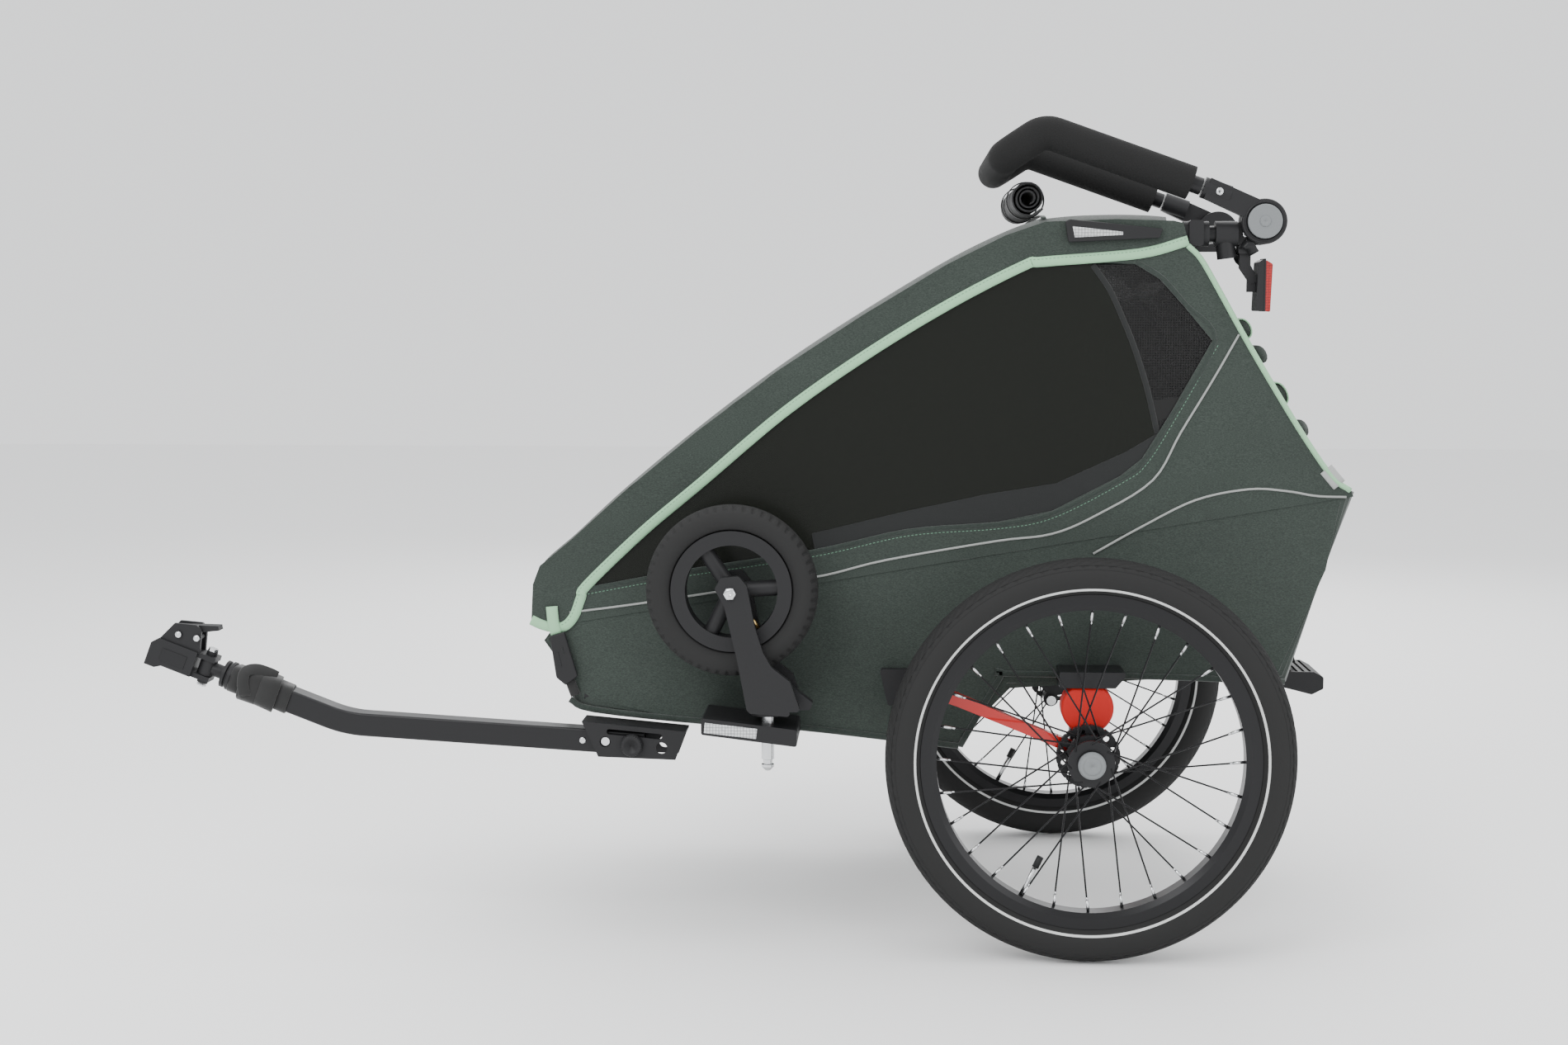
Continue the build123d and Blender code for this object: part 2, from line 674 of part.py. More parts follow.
# ---- drawbar and hitch ----
def nose(u, v):
    """A side-view point u ahead of the drawbar's tip along its slope, and v above it."""
    a = radians(HITCH_SLOPE)
    return (BAR_TIP[0] - u * cos(a) + v * sin(a), BAR_TIP[1] + u * sin(a) + v * cos(a))


def nose_space(u, v, y=BAR_Y):
    x, z = nose(u, v)
    return space(x, y, z)


def drawbar_tube():
    """Bent square tube with a flattened, rounded pivot end."""
    with BuildPart() as piece:
        with BuildLine() as path:
            FilletPolyline(space(BAR_PIVOT[0] + 14, BAR_Y, 251.2), space(BAR_BEND[0], BAR_Y, BAR_BEND[1]),
                           space(BAR_TIP[0], BAR_Y, BAR_TIP[1]), radius=160)
        with BuildSketch(Plane(origin=path.line @ 0, x_dir=(0, 1, 0), z_dir=path.line % 0)):
            RectangleRounded(BAR_SIZE, BAR_SIZE, 3)
            RectangleRounded(BAR_SIZE - 2 * BAR_WALL, BAR_SIZE - 2 * BAR_WALL, 1.5, mode=Mode.SUBTRACT)
        sweep(path=path.line)
        with Locations(space(BAR_PIVOT[0], BAR_Y, BAR_PIVOT[1])):
            Cylinder(6 + RUNNING, 60, rotation=(90, 0, 0), mode=Mode.SUBTRACT)
        with Locations(space(-615, -240, 255.5)):
            Cylinder(6.2, 12, rotation=(90, 0, 0), mode=Mode.SUBTRACT)
    return piece.part


def drawbar_bracket():
    """Folded channel under the nose, slotted, with the pivot bolt and its large round head."""
    px, pz = BAR_PIVOT
    outline = [(-645, 282), (-510, 270), (-524, 233), (-624, 236)]
    web = [(-645, 282), (-510, 270), (-510.5, 267), (-644, 279)]
    with BuildPart() as channel:
        add(slab(outline, -244, -247, bores=[(-615, 255.5, 7), (-542, 248, 7.5)]))
        add(slab(outline, -203, -206, bores=[(-542, 248, 7.5)]))
        add(slab(web, -203, -247))
        with BuildSketch(side(-240)):
            with Locations(station(-577, 266)):
                SlotOverall(72, 7, rotation=-5)
        extrude(amount=12, mode=Mode.SUBTRACT)
        with Locations(space(px, BAR_Y, pz)):
            Cylinder(6, 80, rotation=(90, 0, 0), mode=Mode.SUBTRACT)
    bolt = group(pin(px, pz, -203, -247, 6))
    head = pin(px, pz, -247, -253, 14.5, edge=2)
    return group(channel.part, bolt, head)


def drawbar_button():
    """Spring button in the tube's side that shows in the bracket's front hole."""
    return pin(-615, 255.5, -236, -243.7, 6, edge=0.8)


def safety_strap():
    """Webbing of the safety strap, wound round the tube's front end."""
    with BuildPart() as piece:
        a = radians(HITCH_SLOPE)
        with BuildSketch(Plane(origin=nose_space(-26, 0), x_dir=(0, 1, 0), z_dir=(-cos(a), 0, sin(a)))):
            RectangleRounded(50, 50, 13)
            RectangleRounded(BAR_SIZE + 0.4, BAR_SIZE + 0.4, 3, mode=Mode.SUBTRACT)
        extrude(amount=72)
    return piece.part


def hitch_joint():
    """Rubber bellows and the neck with an eye for the hitch's upright pin."""
    a = radians(HITCH_SLOPE)
    with BuildPart() as piece:
        with BuildSketch(Plane(origin=nose_space(0, 0), x_dir=(-cos(a), 0, sin(a)), z_dir=(0, -1, 0))):
            with BuildLine():
                Polyline((0.2, 0), (0.2, 14), (47, 14), (48, 19), (52, 19), (53, 15), (55, 15), (56, 18), (60, 18),
                         (62, 9), (76, 9), (76, 0), close=True)
            make_face()
        revolve(axis=Axis(nose_space(0, 0), (-cos(a), 0, sin(a))))
        add(rod(nose_space(84, -10), nose_space(84, 10), 11))
        add(rod(nose_space(84, -12), nose_space(84, 12), 4.05), mode=Mode.SUBTRACT)
    return piece.part


def hitch_body():
    """Hitch housing with a round socket in its nose, clevis ears, upright pin and lever housing."""
    a = radians(HITCH_SLOPE)
    box_line = [nose(98, 17), nose(152, 17), nose(160, 8), nose(160, -22), nose(146, -22), nose(138, -17),
                nose(98, -17)]
    ears = [[nose(74, 17), nose(100, 17), nose(100, 10.4), nose(74, 10.4)],
            [nose(74, -17), nose(100, -17), nose(100, -10.4), nose(74, -10.4)]]
    cheeks = [nose(96, 16), nose(104, 46), nose(112, 50), nose(140, 42), nose(152, 16)]
    with BuildPart() as piece:
        add(slab(box_line, BAR_Y + 17, BAR_Y - 17))
        for ear in ears:
            add(slab(ear, BAR_Y + 13, BAR_Y - 13))
        add(slab(cheeks, BAR_Y + 14, BAR_Y + 9))
        add(slab(cheeks, BAR_Y - 9, BAR_Y - 14))
        add(rod(nose_space(161, -3), nose_space(120, -3), 9), mode=Mode.SUBTRACT)
        add(rod(nose_space(84, -21), nose_space(84, 21), 4))
        add(rod(nose_space(84, 17), nose_space(84, 22), 7))
        add(rod(nose_space(84, -22), nose_space(84, -17), 7))
        for u, v in ((106, 34), (130, 30)):
            spot = nose(u, v)
            add(pin(*spot, BAR_Y + 16, BAR_Y - 16, 3.5))
    return piece.part


def hitch_lever():
    """Release lever between the housing's cheeks, turning on the front screw."""
    spot = nose(130, 30)
    with BuildPart() as piece:
        add(slab([(spot[0] - 6, spot[1] + 12), (-1122, 400), (-1121, 394), (-1150, 391), (spot[0] + 12, 388),
                  (spot[0] + 6, spot[1] - 4), (spot[0] - 6, spot[1] - 4)], BAR_Y + 8.6, BAR_Y - 8.6))
        add(pin(*spot, BAR_Y + 8.6, BAR_Y - 8.6, 6))
        for u, v, r in ((130, 30, 3.5 + RUNNING), (106, 34, 4.2)):
            hole = nose(u, v)
            with Locations(space(hole[0], BAR_Y, hole[1])):
                Cylinder(r, 60, rotation=(90, 0, 0), mode=Mode.SUBTRACT)
    return piece.part


def fabric_buckles():
    """Side-release buckles: one on each side of the nose, one on its front and one on the rear."""
    side_one = slab([(-690, 392), (-668, 398), (-648, 330), (-668, 322)], -TUB_HALF - 0.4, -231, corner=3)
    front = slab([(-690.6, 366), (-683.6, 364), (-673, 316), (-680, 316)], 22, -22, corner=1)
    rear = slab([(288, 405), (297, 405), (281, 361), (272, 362)], 22, -22, corner=1)
    return group(both(side_one), front, rear)


PARTS = {
    "side_rails": lambda: group(both(rail()), trunk_hoop()),
    "cross_tubes": lambda: group(cross_tubes(), pedal_lugs()),
    "tub_fabric": tub_fabric,
    "canopy_fabric": canopy_fabric,
    "side_windows": lambda: both(side_window()),
    "seat_cushion": seat_cushion,
    "lap_harness": lap_harness,
    "frame_pivot_brackets": frame_pivot_brackets,
    "arm_pivot_brackets": lambda: both(arm_pivot_bracket()),
    "spring_brackets": lambda: both(spring_bracket()),
    "drawbar_bracket": drawbar_bracket,
    "wheel_holders": wheel_holders,
    "fabric_buckles": fabric_buckles,
    "top_frame_tubes": top_frame_tubes,
    "corner_fittings": lambda: both(corner_fitting()),
    "handle_hinge_bases": lambda: both(handle_hinge_base()),
    "roof_reflectors": lambda: both(roof_reflector()),
    "rolled_cover": rolled_cover,
    "light_mount": light_mount,
    "rear_light_housing": rear_light_housing,
    "rear_light_lens": rear_light_lens,
    "back_frame_tubes": back_frame_tubes,
    "backrest_cushion": backrest_cushion,
    "shoulder_straps": shoulder_straps,
    "handle_hinge_heads": lambda: both(handle_hinge_head()),
    "handle_tube": handle_tube,
    "handle_grip": handle_grip,
    "drawbar_tube": drawbar_tube,
    "drawbar_button": drawbar_button,
    "safety_strap": safety_strap,
    "hitch_joint": hitch_joint,
    "hitch_body": hitch_body,
    "hitch_lever": hitch_lever,
    "stroller_fork": stroller_fork,
    "stroller_pin": stroller_pin,
    "stroller_tyre": stroller_tyre,
    "stroller_rim": stroller_rim,
    "brake_pedal": brake_pedal,
}

# pieces made once for the left side and mirrored into a node of their own on the right
PAIRS = {
    "tyre": tyre,
    "rim": rim,
    "spokes": spokes,
    "hub": hub,
    "hub_button": hub_button,
    "swing_arm": swing_arm,
    "axle_carrier": axle_carrier,
    "brake_pawl": brake_pawl,
    "rubber_spring": rubber_spring,
    "locking_sleeve": locking_sleeve,
    "handle_button": handle_button,
}

for name, make in PARTS.items():
    save(make(), name)

for name, make in PAIRS.items():
    left = make()
    save(twin(left), f"{name}_right")
    save(left, f"{name}_left")
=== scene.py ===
import math
import bmesh
import bpy
import numpy as np
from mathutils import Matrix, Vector
from mathutils.geometry import delaunay_2d_cdt


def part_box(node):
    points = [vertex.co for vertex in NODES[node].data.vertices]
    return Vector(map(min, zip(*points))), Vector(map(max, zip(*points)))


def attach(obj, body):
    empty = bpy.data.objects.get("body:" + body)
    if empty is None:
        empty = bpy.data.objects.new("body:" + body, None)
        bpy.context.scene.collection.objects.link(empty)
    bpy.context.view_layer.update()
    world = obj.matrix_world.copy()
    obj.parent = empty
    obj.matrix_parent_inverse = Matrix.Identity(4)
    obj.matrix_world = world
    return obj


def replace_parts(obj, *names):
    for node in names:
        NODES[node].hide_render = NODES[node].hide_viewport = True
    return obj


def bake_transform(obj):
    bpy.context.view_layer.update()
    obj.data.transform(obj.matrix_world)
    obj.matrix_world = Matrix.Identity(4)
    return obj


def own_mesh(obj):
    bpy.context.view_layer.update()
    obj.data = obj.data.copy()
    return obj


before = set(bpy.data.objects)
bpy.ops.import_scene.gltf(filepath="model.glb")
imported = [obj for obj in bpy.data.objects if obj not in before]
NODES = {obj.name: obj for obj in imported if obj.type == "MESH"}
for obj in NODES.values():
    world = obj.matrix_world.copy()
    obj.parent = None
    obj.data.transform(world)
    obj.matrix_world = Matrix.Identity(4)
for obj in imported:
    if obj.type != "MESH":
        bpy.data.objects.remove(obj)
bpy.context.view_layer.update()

lo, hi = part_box("tyre_left")
AXLE = (lo[0] + hi[0]) / 2          # the axle's x in metres
MM = 0.001

# places in mm: x behind the axle, y across, z above the ground
WHEEL_Z, TRACK_HALF = 254, 320
RIM_SPOKES = 28
TYRE_R, TYRE_MID = 25, 229          # the tyre's section, and the radius of the section's centre
SHEET_HALF = 212                    # half the width of the hood's sheets
BUCKLE_Y = 225
HANDLE_X, HANDLE_Y, HANDLE_Z = 217, 200, 920
ARM_PIVOT = (-215, 0, 340)
STROLLER_HUB = (-447, -290, 460)
BAR_Y = -225
BAR_TIP = (-1062, 315)
BAR_RISE = math.radians(21)         # slope of the drawbar's front end
BAR_BOLT = (-580, -247, 252)
SIDES = ((-1, "left"), (1, "right"))


def at(x, y, z):
    """Millimetres behind the axle, across and above the ground, as a point in metres."""
    return Vector((AXLE + x * MM, y * MM, z * MM))


# ---------------------------------------------------------------- materials
def material(name, color, rough=0.5, metal=0.0, **extra):
    m = bpy.data.materials.new(name)
    m.use_nodes = True
    b = m.node_tree.nodes["Principled BSDF"]
    b.inputs["Base Color"].default_value = (*color, 1)
    b.inputs["Roughness"].default_value = rough
    b.inputs["Metallic"].default_value = metal
    b.inputs["Specular IOR Level"].default_value = 0.5 if metal > 0.5 else 0.22
    for key, value in extra.items():
        b.inputs[key.replace("_", " ")].default_value = value
    return m


def shader(m):
    """The sockets of the material's shader."""
    return m.node_tree.nodes["Principled BSDF"].inputs


def link(m, a, b):
    m.node_tree.links.new(a, b)


def node(m, kind, **values):
    n = m.node_tree.nodes.new(kind)
    for key, value in values.items():
        if key in n.inputs:
            n.inputs[key].default_value = value
        else:
            setattr(n, key, value)
    return n


def coords(m, scale=(1, 1, 1), rotation=(0, 0, 0)):
    tc = node(m, "ShaderNodeTexCoord")
    mp = node(m, "ShaderNodeMapping")
    mp.inputs["Scale"].default_value = scale
    mp.inputs["Rotation"].default_value = rotation
    link(m, tc.outputs["Object"], mp.inputs["Vector"])
    return mp.outputs["Vector"]


def bump(m, height, strength, distance=0.001, below=None):
    n = node(m, "ShaderNodeBump", Strength=strength, Distance=distance)
    link(m, height, n.inputs["Height"])
    if below:
        link(m, below, n.inputs["Normal"])
    link(m, n.outputs["Normal"], shader(m)["Normal"])
    return n.outputs["Normal"]


def grain(m, scale=900, strength=0.25, distance=0.0004):
    n = node(m, "ShaderNodeTexNoise", Scale=scale, Detail=3.0)
    link(m, coords(m), n.inputs["Vector"])
    bump(m, n.outputs["Fac"], strength, distance)
    return m


def cloth(name, dark, light, threads=520, sheen=0.35):
    """Woven fabric: mottled yarn colour, two thread directions and soft creases."""
    m = material(name, dark, 0.85, Sheen_Weight=sheen, Sheen_Roughness=0.5)
    flecks = node(m, "ShaderNodeTexNoise", Scale=420.0, Detail=4.0, Roughness=0.75)
    link(m, coords(m, (1, 1, 2.6)), flecks.inputs["Vector"])
    cloud = node(m, "ShaderNodeTexNoise", Scale=9.0, Detail=3.0)
    link(m, coords(m), cloud.inputs["Vector"])
    ramp = node(m, "ShaderNodeValToRGB")
    ramp.color_ramp.elements[0].position = 0.36
    ramp.color_ramp.elements[0].color = (*dark, 1)
    ramp.color_ramp.elements[1].position = 0.68
    ramp.color_ramp.elements[1].color = (*light, 1)
    link(m, flecks.outputs["Fac"], ramp.inputs["Fac"])
    tone = node(m, "ShaderNodeMapRange", **{"To Min": 0.8, "To Max": 1.2})
    link(m, cloud.outputs["Fac"], tone.inputs["Value"])
    mix = node(m, "ShaderNodeMix", data_type="RGBA", blend_type="MULTIPLY")
    mix.inputs["Factor"].default_value = 1.0
    link(m, ramp.outputs["Color"], mix.inputs["A"])
    link(m, tone.outputs["Result"], mix.inputs["B"])
    link(m, mix.outputs["Result"], shader(m)["Base Color"])
    waves = []
    for rot in ((0, 0, 0), (0, math.pi / 2, 0)):
        w = node(m, "ShaderNodeTexWave", Scale=float(threads), Distortion=1.0, Detail=1.0)
        link(m, coords(m, (1, 0.3, 1), rot), w.inputs["Vector"])
        waves.append(w.outputs["Fac"])
    weave = node(m, "ShaderNodeMath", operation="MULTIPLY")
    link(m, waves[0], weave.inputs[0])
    link(m, waves[1], weave.inputs[1])
    fold = node(m, "ShaderNodeTexNoise", Scale=7.0, Detail=2.0, Distortion=0.6)
    link(m, coords(m, (1, 1, 0.5), (0, 0.5, 0)), fold.inputs["Vector"])
    first = bump(m, fold.outputs["Fac"], 0.35, 0.012)
    bump(m, weave.outputs["Value"], 0.35, 0.0005, first)
    return m


def stitched(name, color):
    """Ribbed binding tape."""
    m = material(name, color, 0.7, Sheen_Weight=0.3)
    n = node(m, "ShaderNodeTexNoise", Scale=1100.0, Detail=2.0)
    link(m, coords(m), n.inputs["Vector"])
    bump(m, n.outputs["Fac"], 0.5, 0.0006)
    return m


def netting(name, color, cell):
    """Open honeycomb netting: holes between threads."""
    m = material(name, color, 0.7)
    v = node(m, "ShaderNodeTexVoronoi", feature="DISTANCE_TO_EDGE", Scale=1 / cell, Randomness=0.0)
    link(m, coords(m), v.inputs["Vector"])
    cut = node(m, "ShaderNodeMath", operation="LESS_THAN")
    cut.inputs[1].default_value = 0.13
    link(m, v.outputs["Distance"], cut.inputs[0])
    alpha = node(m, "ShaderNodeMapRange", **{"To Min": 0.6, "To Max": 1.0})
    link(m, cut.outputs["Value"], alpha.inputs["Value"])
    link(m, alpha.outputs["Result"], shader(m)["Alpha"])
    bump(m, cut.outputs["Value"], 0.8, 0.001)
    return m


def prisms(name, color, cell, rough):
    """Moulded reflector face of small cells."""
    m = material(name, color, rough, Coat_Weight=0.8)
    v = node(m, "ShaderNodeTexVoronoi", Scale=float(cell), Randomness=0.15)
    link(m, coords(m), v.inputs["Vector"])
    ramp = node(m, "ShaderNodeValToRGB")
    ramp.color_ramp.elements[0].color = (*color, 1)
    ramp.color_ramp.elements[1].color = (*[c * 0.35 for c in color], 1)
    ramp.color_ramp.elements[1].position = 0.6
    link(m, v.outputs["Distance"], ramp.inputs["Fac"])
    link(m, ramp.outputs["Color"], shader(m)["Base Color"])
    bump(m, v.outputs["Distance"], 0.7, 0.001)
    return m


GREEN = cloth("green_cloth", (0.0155, 0.0225, 0.0185), (0.039, 0.051, 0.043))
GREEN_DARK = cloth("green_cloth_shade", (0.012, 0.018, 0.015), (0.031, 0.042, 0.035))
SEAT = cloth("seat_cloth", (0.022, 0.022, 0.024), (0.065, 0.065, 0.07), threads=380)
ROLL = cloth("cover_cloth", (0.018, 0.018, 0.019), (0.045, 0.045, 0.047), sheen=0.15)
MINT = stitched("mint_binding", (0.26, 0.48, 0.29))
MINT_DARK = stitched("mint_thread", (0.10, 0.21, 0.14))
WEB = stitched("black_webbing", (0.012, 0.012, 0.012))
BAND = stitched("black_band", (0.008, 0.009, 0.009))
PIPING = stitched("reflective_piping", (0.26, 0.27, 0.26))
TAPE = stitched("grey_tape", (0.33, 0.34, 0.33))
FILM = material("tinted_film", (0.010, 0.011, 0.009), 0.22, Alpha=0.93, Specular_IOR_Level=0.12)
NET = netting("black_netting", (0.010, 0.010, 0.010), 0.0032)
PLASTIC = grain(material("black_plastic", (0.014, 0.014, 0.015), 0.48))
SATIN = grain(material("satin_black", (0.012, 0.012, 0.013), 0.33), 500, 0.1)
GREY = grain(material("grey_plastic", (0.17, 0.18, 0.185), 0.45))
FOAM = grain(material("foam", (0.012, 0.012, 0.012), 0.92), 700, 0.8, 0.0009)
TYRE = grain(material("tyre_rubber", (0.016, 0.016, 0.016), 0.78), 600, 0.3)
STRIPE = stitched("sidewall_stripe", (0.55, 0.56, 0.55))
RIM = material("rim_black", (0.012, 0.012, 0.013), 0.28, 0.6)
SPOKE = material("spoke_black", (0.02, 0.02, 0.021), 0.3, 0.9)
STEEL = material("bright_steel", (0.62, 0.63, 0.64), 0.24, 1.0)
BRASS = material("brass", (0.62, 0.42, 0.16), 0.3, 1.0)
RED_METAL = material("red_paint", (0.42, 0.010, 0.008), 0.3, 0.2, Coat_Weight=0.6)
RED_RUBBER = grain(material("red_rubber", (0.45, 0.014, 0.010), 0.55), 400, 0.15)
RED_LENS = prisms("red_lens", (0.5, 0.006, 0.004), 300, 0.18)
WHITE_LENS = prisms("white_reflector", (0.75, 0.77, 0.78), 260, 0.2)


# ---------------------------------------------------------------- mesh helpers
def piece(name, me, mat):
    """A new object of this mesh, in one material."""
    o = bpy.data.objects.new(name, me)
    bpy.context.scene.collection.objects.link(o)
    me.materials.clear()
    me.materials.append(mat)
    return o


def build(name, verts, faces, mat, body=None, smooth=True):
    me = bpy.data.meshes.new(name)
    me.from_pydata([tuple(v) for v in verts], [], faces)
    me.update()
    bm = bmesh.new()
    bm.from_mesh(me)
    bmesh.ops.remove_doubles(bm, verts=bm.verts, dist=1e-6)
    bmesh.ops.recalc_face_normals(bm, faces=bm.faces)
    bm.to_mesh(me)
    bm.free()
    for p in me.polygons:
        p.use_smooth = smooth
    o = piece(name, me, mat)
    if body:
        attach(o, body)
    return o


def apply_mods(o):
    dg = bpy.context.evaluated_depsgraph_get()
    me = bpy.data.meshes.new_from_object(o.evaluated_get(dg))
    o.modifiers.clear()
    o.data = me
    for p in me.polygons:
        p.use_smooth = True
    me.set_sharp_from_angle(angle=math.radians(42))


def soften(o, width, segments=3, angle=35):
    """Rounds the sharp edges by width, in mm."""
    b = o.modifiers.new("edge", "BEVEL")
    b.width, b.segments = width * MM, segments
    b.limit_method, b.angle_limit = "ANGLE", math.radians(angle)
    b.harden_normals = False


def thicken(o, thick, offset):
    """Gives a sheet its thickness, in mm."""
    s = o.modifiers.new("cloth", "SOLIDIFY")
    s.thickness, s.offset = thick * MM, offset
    apply_mods(o)


def grid(rows, cols):
    """The faces of a sheet of rows by cols points."""
    return [(i * cols + c, i * cols + c + 1, (i + 1) * cols + c + 1, (i + 1) * cols + c)
            for i in range(rows - 1) for c in range(cols - 1)]


def turn(n):
    """n even steps round a circle, as angles."""
    return np.linspace(0, 2 * math.pi, n + 1)[:-1]


def curve(points, per=8, closed=False):
    """Points on a smooth line through the given ones."""
    pts = [np.array(p, float) for p in points]
    n = len(pts)
    out = []
    for i in range(n if closed else n - 1):
        if closed:
            p0, p1, p2, p3 = pts[i - 1], pts[i], pts[(i + 1) % n], pts[(i + 2) % n]
        else:
            p1, p2 = pts[i], pts[i + 1]
            p0 = pts[i - 1] if i else 2 * p1 - p2
            p3 = pts[i + 2] if i + 2 < n else 2 * p2 - p1
        for k in range(per):
            t = k / per
            out.append(0.5 * (2 * p1 + (p2 - p0) * t + (2 * p0 - 5 * p1 + 4 * p2 - p3) * t * t
                              + (3 * p1 - p0 - 3 * p2 + p3) * t ** 3))
    if not closed:
        out.append(pts[-1])
    return out


def sweep(name, pts, section, up, mat, body=None, closed=False, smooth=True):
    """A closed section, in mm as (side, up) pairs, carried along points in metres. up is roughly up."""
    pts = [Vector(p) for p in pts]
    n, k = len(pts), len(section)
    verts, faces = [], []
    for i, p in enumerate(pts):
        a = pts[i - 1] if (i or closed) else pts[0]
        b = pts[(i + 1) % n] if (i + 1 < n or closed) else pts[-1]
        t = (b - a).normalized()
        u = up(p) if callable(up) else Vector(up)
        s = t.cross(u).normalized()
        u = s.cross(t).normalized()
        verts += [p + (s * c[0] + u * c[1]) * MM for c in section]
    for i in range(n if closed else n - 1):
        j = (i + 1) % n
        for q in range(k):
            r = (q + 1) % k
            faces.append((i * k + q, i * k + r, j * k + r, j * k + q))
    if not closed:
        faces.append(tuple(range(k)))
        faces.append(tuple(range((n - 1) * k, n * k)))
    return build(name, verts, faces, mat, body, smooth)


def oval(w, h, n=10):
    return [(w / 2 * math.cos(2 * math.pi * i / n), h / 2 * math.sin(2 * math.pi * i / n)) for i in range(n)]


def strap_section(w, t):
    """Flat webbing w wide and t thick, with its corners cut."""
    e = t * 0.35
    return [(-w / 2, -t / 2 + e), (-w / 2 + e, -t / 2), (w / 2 - e, -t / 2), (w / 2, -t / 2 + e),
            (w / 2, t / 2 - e), (w / 2 - e, t / 2), (-w / 2 + e, t / 2), (-w / 2, t / 2 - e)]


def lathe(name, profile, centre, mat, body, n, relief=None):
    """Profile points (across, radius) in mm turned about the line across the trailer."""
    cx, cy, cz = centre
    verts, faces = [], []
    k = len(profile)
    for i in range(n):
        a = 2 * math.pi * i / n
        for j, (y, r) in enumerate(profile):
            if relief:
                r = r + relief(a, y, r)
            verts.append(at(cx + r * math.cos(a), cy + y, cz + r * math.sin(a)))
    for i in range(n):
        m = (i + 1) % n
        for j in range(k):
            q = (j + 1) % k
            faces.append((i * k + j, i * k + q, m * k + q, m * k + j))
    return build(name, verts, faces, mat, body, True)


def inside(x, z, poly):
    """Whether a side-view point is within a closed line."""
    hit = False
    for i, (x1, z1) in enumerate(poly):
        x0, z0 = poly[i - 1]
        if (z1 > z) != (z0 > z) and x < (x0 - x1) * (z - z1) / (z0 - z1) + x1:
            hit = not hit
    return hit


def panel(name, outline, y_of, mat, holes, thick, step=14):
    """A sheet with a side-view outline and holes. y_of gives its place across the trailer."""
    def within(x, z):
        return inside(x, z, outline) and not any(inside(x, z, h) for h in holes)

    pts, edges = [], []
    for loop in (outline, *holes):
        base = len(pts)
        dense = []
        for i, p in enumerate(loop):
            q = loop[(i + 1) % len(loop)]
            m = max(1, int(math.dist(p, q) / step))
            dense += [(p[0] + (q[0] - p[0]) * k / m, p[1] + (q[1] - p[1]) * k / m) for k in range(m)]
        pts += dense
        edges += [(base + i, base + (i + 1) % len(dense)) for i in range(len(dense))]
    border = np.array(pts)
    xs, zs = [p[0] for p in outline], [p[1] for p in outline]
    row = 0
    z = min(zs)
    while z < max(zs):
        x = min(xs) + (step / 2 if row % 2 else 0)
        while x < max(xs):
            if within(x, z) and np.min(np.hypot(border[:, 0] - x, border[:, 1] - z)) > step * 0.55:
                pts.append((x, z))
            x += step
        z += step * 0.866
        row += 1
    vs, _, fs, *_ = delaunay_2d_cdt([Vector(p) for p in pts], edges, [], 0, 1e-4)
    faces = []
    for f in fs:
        c = sum((vs[i] for i in f), Vector((0, 0))) / len(f)
        if within(c.x, c.y):
            faces.append(tuple(f))
    o = build(name, [at(v.x, y_of(v.x, v.y), v.y) for v in vs], faces, mat, None, True)
    thicken(o, thick, 0)
    return o


def dress(names, mat, edge=0.0):
    """Gives CAD nodes their material, and rounds their sharp edges."""
    for n in names.split():
        o = NODES[n]
        o.data.materials.clear()
        o.data.materials.append(mat)
        if edge:
            soften(o, edge)


def fan(o):
    """Hood fabric between the chassis and the top frame."""
    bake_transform(o)


def carry(o, body=None):
    """The piece rides on a body, or stays unparented like the hood's fabric, its transform baked into its mesh."""
    if body:
        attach(o, body)
    else:
        fan(o)


# ---------------------------------------------------------------- camera, light and floor
YAW, PITCH = 0.0545, 0.1046
cam_data = bpy.data.cameras.new("camera")
cam_data.lens, cam_data.sensor_width = 48.54, 36.0
cam = bpy.data.objects.new("camera", cam_data)
bpy.context.scene.collection.objects.link(cam)
cam.location = at(-238.5, -2911.5, 821.4)
look = Vector((-math.sin(YAW) * math.cos(PITCH), math.cos(YAW) * math.cos(PITCH), -math.sin(PITCH)))
cam.rotation_euler = look.to_track_quat("-Z", "Y").to_euler()
bpy.context.scene.camera = cam


def lamp(name, place, target, size, power):
    """A square area lamp. Places are in metres, power in watts."""
    d = bpy.data.lights.new(name, "AREA")
    d.size, d.energy = size, power
    o = bpy.data.objects.new(name, d)
    o.location = place
    o.rotation_euler = (Vector(target) - Vector(place)).to_track_quat("-Z", "Y").to_euler()
    bpy.context.scene.collection.objects.link(o)


lamp("key", (-1.6, -2.8, 3.0), (0.1, 0, 0.4), 2.2, 95)
lamp("top", (0.4, 0.2, 3.4), (0.1, 0, 0.4), 3.0, 60)
lamp("fill", (2.8, -2.4, 1.6), (0.2, 0, 0.5), 2.0, 30)
lamp("back", (0.5, 3.0, 2.2), (0.1, 0, 0.5), 2.5, 55)
world = bpy.data.worlds.new("studio")
world.use_nodes = True
sky = world.node_tree.nodes["Background"].inputs
sky["Color"].default_value = (0.93, 0.94, 0.95, 1)
sky["Strength"].default_value = 1.45
bpy.context.scene.world = world
FLOOR = material("floor", (0.93, 0.93, 0.93), 0.7)
FLOOR_Z = -0.001
build("floor", [(-9, -7, FLOOR_Z), (9, -7, FLOOR_Z), (9, 9, FLOOR_Z), (-9, 9, FLOOR_Z)],
               [(0, 1, 2, 3)], FLOOR)

